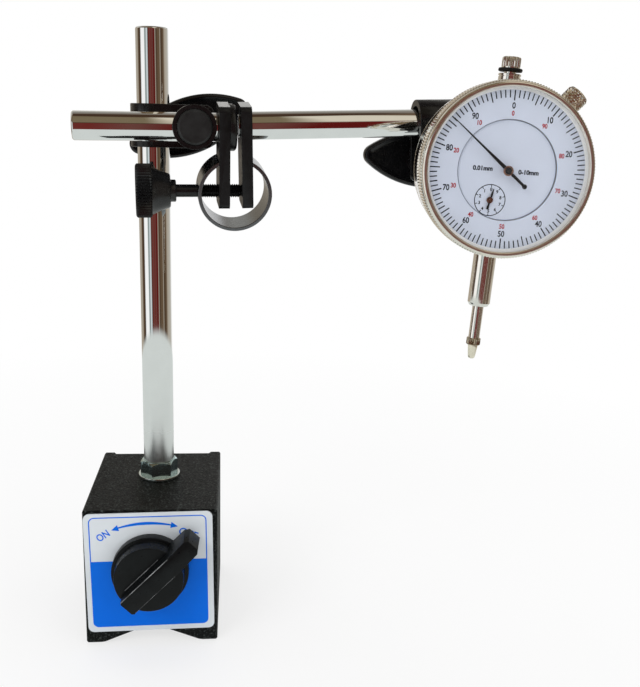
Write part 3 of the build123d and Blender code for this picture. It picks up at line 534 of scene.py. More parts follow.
BAR_CUT, BAR_ROUND, BAR_STEPS = 0.5, 0.3, 4
STUD_RADIUS = 4.0
ROD_HOLE, ROD_HOLE_DEPTH = 2.5, 8.0
RIVET_RADIUS, RIVET_HEAD = 2.5, 4.0


def add_bars():
    low, high = extent("post", POST)
    radius, cut = high.x, BAR_CUT
    seat = extent("post_nut", POST)[1].z
    profile = eased([(0, low.z), (STUD_RADIUS, low.z), (STUD_RADIUS, seat), (radius, seat),
                     (radius, high.z - cut), (radius - cut, high.z), (0, high.z)],
                    BAR_ROUND, BAR_STEPS)
    add("post_bar", turned(profile), POST, "post", POST_CHROME, ["post"])

    low, high = extent("rod_left", EYE)
    radius, bottom = high.y, high.x - ROD_HOLE_DEPTH
    profile = eased([(0, low.x), (radius - cut, low.x), (radius, low.x + cut), (radius, high.x),
                     (ROD_HOLE, high.x), (ROD_HOLE, bottom), (0, bottom)], BAR_ROUND, BAR_STEPS)
    add("rod_left_bar", turned(profile), EYE @ Z_TO_X, "arm_left", CHROME,
        ["rod_left"])

    low, high = extent("rod_right", RIGHT)
    leg_low, leg_high = extent("leg_right", RIGHT)
    radius = high.y
    profile = eased([(0, low.x), (RIVET_HEAD, low.x), (RIVET_HEAD, leg_low.x),
                     (RIVET_RADIUS, leg_low.x), (RIVET_RADIUS, leg_high.x), (radius, leg_high.x),
                     (radius, high.x - cut), (radius - cut, high.x), (0, high.x)],
                    BAR_ROUND, BAR_STEPS)
    add("rod_right_bar", turned(profile), RIGHT @ Z_TO_X, "arm_right", CHROME,
        ["rod_right"])


add_bars()


# Painted highlight on the top ends of the two legs: thin light grey caps

END_DEPTH, END_LIFT = 0.3, 0.03

# A face counts as level where its normal comes this near to straight up.
LEVEL = 0.99


def add_leg_ends():
    for node, local, body in (("leg_left", SCREW, "arm_left"), ("leg_right", RIGHT, "arm_right")):
        up = column(local, 2)
        if up.z < 0:
            up = -up
        data = nodes[node].data
        top = max(vertex.co @ up for vertex in data.vertices)
        mesh = bmesh.new()
        for face in data.polygons:
            if face.normal @ up > LEVEL and face.center @ up > top - END_DEPTH * MM:
                mesh.faces.new([mesh.verts.new(data.vertices[i].co) for i in face.vertices])
        bmesh.ops.remove_doubles(mesh, verts=mesh.verts, dist=WELD)
        thicken(mesh, up * END_LIFT * MM)
        add(node + "_end", mesh, Matrix.Identity(4), body, LEG_END_HIGHLIGHT)


add_leg_ends()


# Spring band of the fine adjuster

SPRING_EDGE = 0.2


def add_spring_band():
    """The C spring band as one welded mesh with softened edges, put on no body; on the real stand it is fixed to
    both legs and flexes at its foot, on the fine adjuster's axis.
    """
    mesh = bmesh.new()
    mesh.from_mesh(nodes["spring_band"].data)
    bmesh.ops.remove_doubles(mesh, verts=mesh.verts, dist=WELD)
    piece = add("spring_band_flexed", mesh, Matrix.Identity(4), None, SPRING,
                ["spring_band"], bevel=SPRING_EDGE)
    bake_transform(piece)


add_spring_band()


# Fine adjusting screw

THREAD_PITCH, THREAD_DEPTH = 0.8, 0.42
THREAD_START, THREAD_END = 7.8, 0.7
THREAD_ROWS = 8
SHANK_DROP = 0.2
KNOB_RIBS, KNOB_RIB_DEPTH = 52, 0.7
KNOB_WHEEL, KNOB_COLLAR = 5.8, 2.0


def add_thumb_screw():
    low, high = extent("thumb_screw", SCREW)
    knob_low, knob_high = extent("thumb_knob", SCREW)
    radius = high.y
    thread_start = knob_high.x + THREAD_START
    length = high.x - THREAD_END - thread_start
    shank = radius - SHANK_DROP

    def thread(angle, height, reach):
        inside = min(1.0, max(0.0, (height - thread_start) / THREAD_PITCH))
        if reach < shank - 0.05 or height <= thread_start:
            return 0.0
        return THREAD_DEPTH * inside * zigzag(height / THREAD_PITCH - angle / tau)

    steps = int(length / THREAD_PITCH * THREAD_ROWS)
    profile = [(0, low.x), (shank, low.x), (shank, thread_start)]
    profile += [(radius, thread_start + 0.05 + length * i / steps) for i in range(steps + 1)]
    profile += [(radius - 0.6, high.x), (0, high.x)]
    add("thumb_screw_threaded", turned(profile, 48, thread), SCREW @ Z_TO_X, "fine_screw", OXIDE,
        ["thumb_screw"], crease=60)

    wheel = knob_high.y
    start, end = knob_low.x, knob_low.x + KNOB_WHEEL
    cone_end, collar_end = knob_high.x - KNOB_COLLAR, knob_high.x
    ribs = ridges(KNOB_RIBS, KNOB_RIB_DEPTH, wheel - 0.75, power=0.7)
    profile = [(0, start + 0.5), (5.6, start + 0.5), (6.4, start), (wheel - 1.0, start),
               (wheel - 0.5, start + 0.12), (wheel, start + 0.6), (wheel, end - 0.6),
               (wheel - 0.5, end - 0.1), (8.9, end), (8.6, end + 0.2), (7.4, end + 2.6),
               (6.2, cone_end - 0.5), (5.85, cone_end - 0.1), (5.6, cone_end), (4.2, cone_end),
               (4.0, cone_end + 0.25), (4.0, collar_end - 0.3), (3.7, collar_end),
               (2.35, collar_end), (0, collar_end)]
    add("thumb_knob_ribbed", turned(profile, KNOB_RIBS * 6, ribs), SCREW @ Z_TO_X, "fine_screw",
        PLASTIC, ["thumb_knob"], crease=40)


add_thumb_screw()


# Wing nuts

WING_LENGTH, WING_WIDTH, WING_TIP = 24.3, 10.8, 4.0
WING_STAND, WING_THICKNESS, WING_RIM, WING_DISH = 2.2, 5.0, 2.0, 0.9
WING_HUB, WING_HUB_LENGTH, WING_BORE = 7.5, 11.0, 4.05

# Degrees that the photo shows the post's wing nut turned by
POST_WING_REST = -20.2


def lens_outline(inset, height, side_steps=36, tip_steps=14):
    """Leaf between two arcs with rounded tips, drawn in by inset."""
    length, width = WING_LENGTH - inset, WING_WIDTH - inset
    tip = max(1.2, WING_TIP - inset)
    reach = length - tip
    arc = (reach ** 2 + width ** 2 - tip ** 2) / (2 * (width - tip))
    drop = arc - width
    half = atan2(reach, drop)
    points = []
    for side in (1, -1):
        for i in range(side_steps):
            angle = side * (half - 2 * half * i / side_steps)
            points.append((arc * sin(angle), side * (arc * cos(angle) - drop), height))
        for i in range(tip_steps):
            start = pi / 2 + half if side == 1 else -(pi / 2 - half)
            sweep = pi - 2 * half
            angle = start + sweep * i / tip_steps
            points.append((-side * reach + tip * cos(angle), tip * sin(angle), height))
    return points


def add_wing(name, local, body, node):
    top = WING_STAND + WING_THICKNESS
    steps = ((WING_RIM + 0.9, WING_DISH), (WING_RIM, WING_DISH - 0.15), (WING_RIM - 0.5, 0.1),
             (1.2, 0.0), (0.45, 0.3), (0.05, 1.3))
    layers = [(inset, WING_STAND + depth) for inset, depth in steps]
    layers.append((0.0, WING_STAND + WING_THICKNESS / 2))
    layers += [(inset, top - depth) for inset, depth in reversed(steps)]
    wing = loft([lens_outline(inset, height) for inset, height in layers])
    hub = turned(eased([
        (WING_BORE, 0), (WING_HUB, 0), (WING_HUB, WING_HUB_LENGTH), (WING_BORE, WING_HUB_LENGTH),
        (WING_BORE, 0)], 0.6, 4)[:-1], 72, closed=True)
    add(name, merge(wing, hub), local @ Z_TO_Y, body, CAST, [node], crease=50)


add_wing("post_wing", POST_WING @ spin(POST_WING_REST, "Y"), "post_wing", "post_wing_nut")
add_wing("gauge_wing", GAUGE_WING, "gauge_wing", "gauge_wing_nut")


# Indicator

KNURL_TEETH, KNURL_DEPTH, KNURL_END = 184, 0.3, 1.2
LIP_ABOVE, LIP_WITHIN = 2.5, 27.7
LOCK_HEAD, LOCK_TEETH, LOCK_PITCH, LOCK_DEPTH, LOCK_ROWS = 5.5, 20, 1.5, 0.5, 36
TUBE_BORE, STEM_SPIGOT = 2.05, 3.4
CAP_RIBS, CAP_DEPTH = 12, 0.8
TIP_LENGTH, COLLAR_LENGTH, COLLAR_TEETH, COLLAR_DEPTH = 5.2, 2.6, 20, 0.32
TIP_COLOUR = metal("contact_steel", (0.95, 0.87, 0.72), 0.1, 0.2)
COLLAR_BRASS = metal("contact_collar_brass", (0.46, 0.38, 0.28), 0.15, 0.25)
LIP = metal("bezel_lip", (0.92, 0.87, 0.79), 0.3, 0.4, spread=0.03)


def add_bezel():
    low, high = extent("bezel", DIAL)
    radius, back, front = high.x, low.z, high.z
    bore = extent("housing", DIAL)[1].x + 0.05
    knurl = ridges(KNURL_TEETH, KNURL_DEPTH, radius - 0.4, back + 0.35, KNURL_END)
    # A ribbed drum, a shallow groove, a bright cone and a round bead that faces the reader.
    profile = [(bore, back), (radius - 0.3, back), (radius, back + 0.3), (radius, back + 0.4),
               (radius, 0.6), (radius - 0.1, 0.85), (radius - 0.35, 1.1), (radius - 0.5, 1.22),
               (28.3, 1.3), (28.28, 1.42), (28.34, 1.5), (28.2, 2.1), (28.14, 2.25), (28.02, 2.34),
               (28.0, 2.42), (28.08, 2.52), (28.05, 2.68), (27.9, 2.82), (27.65, front - 0.01),
               (27.35, front), (27.05, front - 0.04), (26.8, front - 0.13), (26.64, front - 0.28),
               (26.6, 2.45), (27.4, 2.4), (27.4, 1.5), (26.9, 1.5), (26.9, 0.0), (bore, 0.0)]
    piece = add("bezel_knurled", turned(profile, KNURL_TEETH * 4, knurl, closed=True), DIAL,
                "bezel_ring", NICKEL, ["bezel"], crease=30)
    piece.data.materials.append(LIP)
    home = DIAL.inverted()
    for face in piece.data.polygons:
        centre = home @ face.center
        if centre.z > LIP_ABOVE and centre.xy.length < LIP_WITHIN:
            face.material_index = 1


def add_lock_screw():
    low, high = extent("lock_screw", LOCK)
    radius = high.y
    shoulder = high.x - LOCK_HEAD

    def diamond(angle, height, reach):
        if reach < radius - 0.05:
            return 0.0
        turns, climb = angle / tau * LOCK_TEETH, height / LOCK_PITCH
        return LOCK_DEPTH * max(zigzag(turns + climb), zigzag(turns - climb))

    profile = [(0, low.x), (1.5, low.x), (1.5, shoulder), (radius - 0.6, shoulder)]
    profile += [(radius, shoulder + 0.6 + (high.x - shoulder - 1.2) * i / LOCK_ROWS)
                for i in range(LOCK_ROWS + 1)]
    profile += [(radius - 0.55, high.x - 0.1), (radius - 0.8, high.x), (0, high.x)]
    add("lock_screw_knurled", turned(profile, LOCK_TEETH * 6, diamond), LOCK @ Z_TO_X, "bezel_lock",
        NICKEL, ["lock_screw"], crease=25)


def spindle_axis():
    """The dial's frame moved to the stem's axis, with Z up the stem."""
    low, high = extent("stem", DIAL)
    centre = DIAL @ Vector((0, 0, (low.z + high.z) / 2))
    return place(centre, column(DIAL, 0), -column(DIAL, 2))


AXIS = spindle_axis()


def add_stem():
    low, high = extent("stem", AXIS)
    radius, bore = high.x, TUBE_BORE
    seat = extent("housing", AXIS)[0].z
    profile = [(bore, low.z), (radius - 0.8, low.z), (radius - 0.6, low.z + 0.1),
               (radius - 0.05, low.z + 1.05), (radius, low.z + 1.25), (radius, seat),
               (STEM_SPIGOT, seat), (STEM_SPIGOT, high.z), (bore, high.z)]
    add("stem_tube", turned(profile, closed=True), AXIS, "indicator", POLISHED,
        ["stem"])


def add_top_collar():
    low, high = extent("top_collar", AXIS)
    radius, bore = high.x, TUBE_BORE
    profile = [(bore, low.z), (radius - 0.1, low.z), (radius - 0.1, high.z - 1.0),
               (radius - 0.35, high.z - 0.95), (radius - 0.35, high.z - 0.8), (radius, high.z - 0.75),
               (radius, high.z - 0.12), (radius - 0.15, high.z), (bore, high.z)]
    add("collar_tube", turned(profile, closed=True), AXIS, "indicator", POLISHED,
        ["top_collar"])


def add_buffer():
    low, high = extent("buffer_ring", AXIS)
    middle, half = (low.z + high.z) / 2, (high.z - low.z) / 2
    radius, bore, steps = high.x - 0.15, 2.0, 8
    profile = [(bore, low.z), (radius - half / 2, low.z)]
    for i in range(1, steps):
        angle = pi * i / steps
        profile.append((radius - half / 2 * (1 - sin(angle)), middle - half * cos(angle)))
    profile += [(radius - half / 2, high.z), (bore, high.z)]
    add("buffer_band", turned(profile, 72, closed=True), AXIS, "plunger", RUBBER,
        ["buffer_ring"])


def add_cap():
    low, high = extent("cap", AXIS)
    radius = high.x
    grooves = ridges(CAP_RIBS, CAP_DEPTH, radius - 0.4, low.z + 0.45, shift=0.5, power=2.0)
    profile = [(2.0, low.z), (radius, low.z), (radius, low.z + 0.4), (radius, low.z + 0.5),
               (radius, high.z - 0.5), (radius - 0.15, high.z - 0.15), (radius - 0.5, high.z),
               (0, high.z)]
    add("cap_ribbed", turned(profile, CAP_RIBS * 12, grooves), AXIS, "plunger", POLISHED,
        ["cap"], crease=30)


def add_contact():
    low, high = extent("contact_point", AXIS)
    collar = high.x
    start = low.z + TIP_LENGTH
    end = start + COLLAR_LENGTH
    serration = ridges(COLLAR_TEETH, COLLAR_DEPTH, collar - 0.05, start + 0.3, end - 0.3)
    tip = [(0, low.z), (0.6, low.z + 0.04), (1.0, low.z + 0.22), (1.22, low.z + 0.55),
           (1.34, low.z + 1.2), (1.7, start - 0.8), (1.8, start), (1.8, start + 0.5),
           (0, start + 0.5)]
    add("contact_tip", turned(tip, 72), AXIS, "plunger", TIP_COLOUR,
        ["contact_point"], crease=30)
    profile = [(0, start), (collar - 0.25, start), (collar, start + 0.25), (collar, start + 0.4),
               (collar, end - 0.4), (collar, end - 0.25), (collar - 0.25, end), (1.25, end),
               (1.25, high.z), (0, high.z)]
    add("contact_collar", turned(profile, COLLAR_TEETH * 6, serration), AXIS, "plunger",
        COLLAR_BRASS, crease=30)


add_bezel()
add_lock_screw()
add_stem()
add_top_collar()
add_buffer()
add_cap()
add_contact()


# Dial print. The scale is turned a little against the stem.

SCALE_TURN = 2.2
INK_LIFT, INK_TOP = 0.004, 0.03
TICK_OUTER = 25.6
TICK_LENGTH, FIFTH_LENGTH = 2.4, 3.3
TICK_WIDTH, TENTH_WIDTH = 0.36, 0.4
NUMBER_RADIUS, NUMBER_HEIGHT = 20.75, 2.05
RED_RADIUS, RED_HEIGHT = 18.3, 1.6
RIM_RADIUS, RIM_WIDTH = 26.3, 1.15
CIRCLE_RADIUS, CIRCLE_WIDTH = 16.25, 0.15
WORD_HEIGHT, WORD_BOLD = 1.6, 0.045
WORDS = (("0.01mm", -8.0, 0.1), ("0-10mm", 7.3, 0.0))
COUNTER_RADIUS, COUNTER_LINE = 5.1, 0.27
COUNTER_TICK, COUNTER_TICK_WIDTH = 0.8, 0.24
DIGIT_RADIUS, DIGIT_HEIGHT = 3.6, 1.1
centre_top = extent("dial_centre", DIAL)[1].z


def add_scale():
    ticks = []
    for i in range(100):
        length = TICK_LENGTH if i % 5 else FIFTH_LENGTH
        width = TICK_WIDTH if i % 10 else TENTH_WIDTH
        ticks.append(spoke(90 + SCALE_TURN - 3.6 * i, TICK_OUTER - length, TICK_OUTER, width,
                           INK_LIFT, INK_TOP))
    add("dial_ticks", merge(*ticks), DIAL, "bezel_ring", INK)
    add("dial_rim", band(RIM_RADIUS, RIM_WIDTH, INK_LIFT, INK_TOP + 0.05), DIAL, "bezel_ring",
        RIM_WHITE)
    numbers, red_numbers = [], []
    thick = INK_TOP - INK_LIFT
    for i in range(10):
        angle = 90 + SCALE_TURN - 36 * i
        number = text_mesh(str(10 * i), NUMBER_HEIGHT, 0.82, thick, 0.025)
        numbers.append(moved_out(number, NUMBER_RADIUS, angle, INK_LIFT, SCALE_TURN))
        number = text_mesh(str(10 * ((10 - i) % 10)), RED_HEIGHT, 0.84, thick, 0.03)
        red_numbers.append(moved_out(number, RED_RADIUS, angle, INK_LIFT, SCALE_TURN))
    add("dial_numbers", merge(*numbers), DIAL, "bezel_ring", INK)
    add("dial_numbers_red", merge(*red_numbers), DIAL, "bezel_ring", RED_INK)


def add_centre_print():
    low, high = centre_top + INK_LIFT, centre_top + INK_TOP
    words = [moved(text_mesh(word, WORD_HEIGHT, bold=WORD_BOLD), x, y, low, SCALE_TURN)
             for word, x, y in WORDS]
    add("dial_words", merge(*words), DIAL, "indicator", INK)
    # This ring is painted shade of the gap between the dial's centre and its ring, not print.
    circle = band(CIRCLE_RADIUS, CIRCLE_WIDTH, low, high)
    add("dial_circle_shade", circle, DIAL, "indicator", GROOVE_SHADE)
    marks = [band(COUNTER_RADIUS, COUNTER_LINE, low, high, 72)]
    for i in range(10):
        angle = 90 + 36 * i
        marks.append(spoke(angle, COUNTER_RADIUS - COUNTER_TICK, COUNTER_RADIUS,
                           COUNTER_TICK_WIDTH, low, high))
        number = text_mesh(str(i), DIGIT_HEIGHT, bold=0.03)
        marks.append(moved_out(number, DIGIT_RADIUS, angle, low))
    add("counter_print", merge(*marks), COUNTER, "indicator", INK)


add_scale()
add_centre_print()


# Hands

# Readings in the photo, in degrees from the right side of each dial
POINTER_ANGLE, COUNTER_ANGLE = 142.6, 79.0
HAND_THICKNESS = 0.25
TAIL_END, TAIL_BALL, BALL_SIDES = -7.6, 0.8, 32


def add_pointer():
    low, high = extent("main_pointer", DIAL)
    bottom, top = low.z, high.z
    face = bottom + HAND_THICKNESS
    needle = slab([(24.85, -0.1), (24.85, 0.1), (10.0, 0.34), (3.2, 0.55), (1.4, 0.62),
                   (1.4, -0.62), (3.2, -0.55), (10.0, -0.34)], bottom, face)
    tail = slab([(-1.4, -0.5), (TAIL_END, -0.42), (TAIL_END, 0.42), (-1.4, 0.5)], bottom, face)
    angles = [tau * i / BALL_SIDES for i in range(BALL_SIDES)]
    ball = slab([(TAIL_END + TAIL_BALL * cos(angle), TAIL_BALL * sin(angle)) for angle in angles],
                bottom, face + 0.02)
    turn = spin(POINTER_ANGLE)
    add("pointer_needle", merge(needle, tail, ball), DIAL @ turn, "pointer", HAND,
        ["main_pointer"])
    hub = turned([(0, bottom - 0.05), (1.55, bottom - 0.05), (1.68, bottom + 0.1),
                  (1.68, top - 0.35), (1.5, top - 0.08), (1.3, top), (1.12, top - 0.12),
                  (1.0, top - 0.3), (0, top - 0.3)], 48)
    add("pointer_hub", hub, DIAL @ turn, "pointer", COPPER)
    # Black dome in the hub's recess: painted shade of the hole in the hub's centre.
    centre_shade = turned([(1.05, top - 0.32), (1.05, top - 0.2), (0.5, top - 0.16), (0.4, top - 0.02),
                   (0, top)], 36)
    add("pointer_centre_shade", centre_shade, DIAL @ turn, "pointer", HAND)


def add_counter_hand():
    low, high = extent("counter_hand", COUNTER)
    back = high.z - HAND_THICKNESS
    point = slab([(3.9, -0.1), (3.9, 0.1), (2.0, 0.34), (0.9, 0.26), (0.6, 0.26), (0.6, -0.26),
                  (0.9, -0.26), (2.0, -0.34)], back, high.z)
    tail = slab([(-0.6, -0.26), (-3.1, -0.42), (-3.1, 0.42), (-0.6, 0.26)], back, high.z)
    turn = spin(COUNTER_ANGLE)
    add("counter_needle", merge(point, tail), COUNTER @ turn, "counter", HAND,
        ["counter_hand"])
    hub = turned([(0, low.z), (0.9, low.z), (1.0, high.z - 0.1), (0.85, high.z + 0.05),
                  (0.55, high.z + 0.05), (0.45, high.z), (0, high.z)], 36)
    add("counter_hub", hub, COUNTER @ turn, "counter", COPPER)


add_pointer()
add_counter_hand()


# Switch knob

HANDLE_ANGLE = 45.0
HANDLE_TAIL, HANDLE_BEND, HANDLE_CHEEK, HANDLE_REACH = 12.1, 13.0, 21.2, 22.9
HANDLE_HALF, HANDLE_TIP_HALF, HANDLE_TIP_DROP = 3.75, 2.6, 1.6
HANDLE_ASIDE = -0.85
HANDLE_DRAFT = 0.25
DISC_RADIUS, DISC_HEIGHT, DISC_RIM, DISC_SINK = 14.4, 3.7, 1.3, 0.55
SHAFT_COVER = 0.1
# Light grey for the knob's edge strips: painted highlight, with some wear along the top crest.
WEAR_AND_HIGHLIGHT = black("plastic_wear_and_highlight", (0.22, 0.225, 0.23), 0.3, 0.45, 0.02, 0.6, spread=0.8, gloss=0.5)


def handle_edge(inset, height, floor):
    """Outline of the handle, drawn in by inset. Above the disc it gets lower towards its tip."""
    half, tip = HANDLE_HALF - inset, HANDLE_TIP_HALF - inset
    tail, end = HANDLE_TAIL - inset, HANDLE_REACH - inset
    outline = [(-tail + 0.7, -half), (0.0, -half), (HANDLE_BEND, -half), (HANDLE_CHEEK, -half),
               (end, -tip), (end, tip), (HANDLE_CHEEK, half), (HANDLE_BEND, half), (0.0, half),
               (-tail + 0.7, half), (-tail, half - 0.7), (-tail, 0.7 - half)]
    fall = HANDLE_TIP_DROP / (HANDLE_REACH - HANDLE_BEND) * (height - floor > 1.0)
    return [(x, y + HANDLE_ASIDE, height - fall * max(0.0, x - HANDLE_BEND)) for x, y in outline]


def add_switch_knob():
    low, high = extent("switch_knob", SWITCH)
    back, face = low.z, low.z + DISC_HEIGHT
    shaft = extent("switch_shaft", SWITCH)[1].z
    floor = max(face - DISC_SINK, shaft + SHAFT_COVER)
    rim = DISC_RADIUS - DISC_RIM
    disc = turned(eased([(0, back), (DISC_RADIUS, back), (DISC_RADIUS, face), (rim, face),
                         (rim - 0.3, floor), (0, floor)], 0.35), 120)
    layers = ((0.0, face - 0.9), (0.05, face + 0.5), (HANDLE_DRAFT, high.z - 0.45),
              (HANDLE_DRAFT + 0.1, high.z - 0.15), (HANDLE_DRAFT + 0.4, high.z))
    handle = loft([handle_edge(inset, height, face) for inset, height in layers])
    turn = spin(HANDLE_ANGLE)
    handle.transform(turn)
    add("switch_knob_moulded", merge(disc, handle), SWITCH, "switch", KNOB,
        ["switch_knob"], crease=30)
    # Light grey strips along the handle's top edges and the disc's ledge: painted highlights, with some wear along
    # the top crest.
    side = HANDLE_HALF - HANDLE_DRAFT - 0.2
    top = high.z - 0.12
    ledge = HANDLE_HALF + 0.5
    wear_and_highlight_lines = [strip(-11.2, side, HANDLE_BEND, side, 0.3, top - 0.3, top + 0.06),
            strip(-10.4, -side, 10.0, -side, 0.07, top - 0.3, top + 0.05),
            strip(-8.8, ledge, 8.4, ledge, 0.22, floor - 0.2, floor + 0.14)]
    lines = merge(*wear_and_highlight_lines)
    lines.transform(turn @ Matrix.Translation((0, HANDLE_ASIDE, 0)))
    add("switch_knob_edge_highlights", lines, SWITCH, "switch", WEAR_AND_HIGHLIGHT)


add_switch_knob()


# Switch label

PLATE_FRONT = 0.8
LABEL_CENTRE, LABEL_TURN = (-0.4, -1.75), 0.9
FIELD_LEFT, FIELD_RIGHT, FIELD_LOW, FIELD_HIGH = -22.4, 21.3, -24.1, 21.4
FIELD_CORNER, FIELD_LINE, FIELD_SPLIT = 2.2, 0.42, 3.4
ARROW_CENTRE, ARROW_RADIUS = (-0.46, -20.25), 38.8
ARROW_FROM, ARROW_TO = 110.5, 73.4
ARROW_HEAD, ARROW_HEAD_HALF = 4.0, 1.25
ON_OFF = (("ON", 2.95, 0.82, 0.02, -17.2, 33), ("OFF", 3.1, 0.98, 0.01, 14.4, -22))
WORDS_UP = 14.0


def rounded_box(x0, x1, y0, y1, corner, square=(), steps=8):
    """Outline of a box, anticlockwise from its lower right corner; square names plain corners."""
    points = []
    for i, (x, y) in enumerate(((x1, y0), (x1, y1), (x0, y1), (x0, y0))):
        if i in square:
            points.append((x, y))
            continue
        middle_x = x - corner if x == x1 else x + corner
        middle_y = y - corner if y == y1 else y + corner
        for k in range(steps + 1):
            angle = radians(90 * (i - 1) + 90 * k / steps)
            points.append((middle_x + corner * cos(angle), middle_y + corner * sin(angle)))
    return points


def frame_strip(outer, inner, low, high):
    """The flat frame between two outlines of as many corners."""
    loops = ((outer, low), (outer, high), (inner, high), (inner, low))
    return loft([[(x, y, z) for x, y in outline] for outline, z in loops], closed=True)


def arrow_point(angle, offset=0.0):
    """A point on the label's arrow line, or that far outside it."""
    angle = radians(angle)
    reach = ARROW_RADIUS + offset
    return (ARROW_CENTRE[0] + reach * cos(angle), ARROW_CENTRE[1] + reach * sin(angle))


def add_label_print():
    low, high = PLATE_FRONT + INK_LIFT, PLATE_FRONT + INK_TOP
    line = FIELD_LINE
    outer = rounded_box(FIELD_LEFT, FIELD_RIGHT, FIELD_LOW, FIELD_HIGH, FIELD_CORNER)
    inner = rounded_box(FIELD_LEFT + line, FIELD_RIGHT - line, FIELD_LOW + line, FIELD_HIGH - line,
                        FIELD_CORNER - line)
    edge = frame_strip(outer, inner, low, high)
    field = slab(rounded_box(FIELD_LEFT + line / 2, FIELD_RIGHT - line / 2, FIELD_LOW + line / 2,
                             FIELD_SPLIT, FIELD_CORNER, square=(1, 2)), low, high + 0.005)
    steps = 24
    first, last = ARROW_FROM - ARROW_HEAD + 0.1, ARROW_TO + ARROW_HEAD - 0.1
    top, bottom = [], []
    for i in range(steps + 1):
        angle = first + (last - first) * i / steps
        half = 0.28 + 0.3 * sin(pi * i / steps)
        top.append(arrow_point(angle, half))
        bottom.append(arrow_point(angle, -half))
    shaft = slab(top + bottom[::-1], low, high)
    heads = []
    for tip, base in ((ARROW_FROM, ARROW_FROM - ARROW_HEAD), (ARROW_TO, ARROW_TO + ARROW_HEAD)):
        heads.append(slab([arrow_point(tip), arrow_point(base, ARROW_HEAD_HALF),
                           arrow_point(base, -ARROW_HEAD_HALF)], low, high))
    words = [moved(text_mesh(word, height, width, bold=bold), x, WORDS_UP, low, turn)
             for word, height, width, bold, x, turn in ON_OFF]
    x, y = LABEL_CENTRE
    turn = spin(LABEL_TURN)
    turn = Matrix.Translation((x, y, 0)) @ turn @ Matrix.Translation((-x, -y, 0))
    add("label_print", merge(edge, field, shaft, *heads, *words), SWITCH @ turn, "base", BLUE_INK)


add_label_print()


# Soft edges on the CAD pieces that show

SOFT_EDGES = {
    0.4: ("post_sleeve", "post_eye_bolt", "gauge_sleeve", "gauge_eye_bolt"),
    0.35: ("pole_left", "pole_right"),
    0.3: ("post_clip", "gauge_clip", "leg_left", "leg_right", "post_nut"),
    0.2: ("label_plate", "post_washer", "post_wing_washer", "gauge_wing_washer", "rod_screw",
          "housing", "back_cover", "mounting_stub", "lug_screw", "rear_cover"),
}


def soften_nodes():
    for size, names in SOFT_EDGES.items():
        for name in names:
            weld = nodes[name].modifiers.new("weld", "WELD")
            weld.merge_threshold = WELD
            add_bevel(nodes[name], size)


soften_nodes()


# Camera, light and floor

VIEW_WIDTH, VIEW_HEIGHT = 640, 687
VIEW_FOCAL = 875.08
VIEW_CENTRE = (321.9, 334.05)
CAMERA_AT = Vector((31.97, -336.31, 197.99)) * MM
CAMERA_YAW, CAMERA_PITCH, CAMERA_ROLL = 0.0997, 0.2383, -0.0288


def add_camera():
    ahead = Vector((sin(CAMERA_YAW) * cos(CAMERA_PITCH), cos(CAMERA_YAW) * cos(CAMERA_PITCH),
                    -sin(CAMERA_PITCH)))
    level = Vector((cos(CAMERA_YAW), -sin(CAMERA_YAW), 0))
    down = ahead.cross(level)
    right = cos(CAMERA_ROLL) * level + sin(CAMERA_ROLL) * down
    below = -sin(CAMERA_ROLL) * level + cos(CAMERA_ROLL) * down
    data = bpy.data.cameras.new("camera")
    data.sensor_fit = "VERTICAL"
    data.sensor_height = 36.0
    data.lens = VIEW_FOCAL / VIEW_HEIGHT * data.sensor_height
    data.shift_x = -(VIEW_CENTRE[0] - VIEW_WIDTH / 2) / VIEW_HEIGHT
    data.shift_y = (VIEW_CENTRE[1] - VIEW_HEIGHT / 2) / VIEW_HEIGHT
    data.clip_start = 0.01
    camera = bpy.data.objects.new("camera", data)
    turn = Matrix((right, -below, -ahead)).transposed().to_4x4()
    camera.matrix_world = Matrix.Translation(CAMERA_AT) @ turn
    link(camera)
    bpy.context.scene.camera = camera


LAMP_AIM = Vector((0.04, -0.01, 0.12))
LAMPS = (
    ("key_lamp", (-0.7, -0.8, 0.9), 0.6, 5),
    ("fill_lamp", (0.9, -0.7, 0.5), 0.7, 2.5),
    ("top_lamp", (0.0, 0.3, 1.2), 0.8, 4),
)


def add_lamps():
    """Square lamps that polished metal doesn't mirror."""
    for name, spot, size, watts in LAMPS:
        data = bpy.data.lights.new(name, "AREA")
        data.size = size
        data.energy = watts
        lamp = bpy.data.objects.new(name, data)
        lamp.location = spot
        aim = LAMP_AIM - lamp.location
        lamp.rotation_euler = aim.to_track_quat("-Z", "Y").to_euler()
        link(lamp)
        lamp.visible_glossy = False


EVEN_LIGHT = 0.55

# Bounds of the room that polished metal sees: rise goes from 0, straight down, to 1, straight up
SEAM_RISE, UPPER_RISE, ZENITH_RISE = 0.61, 0.635, 0.915
BEHIND = 0.30


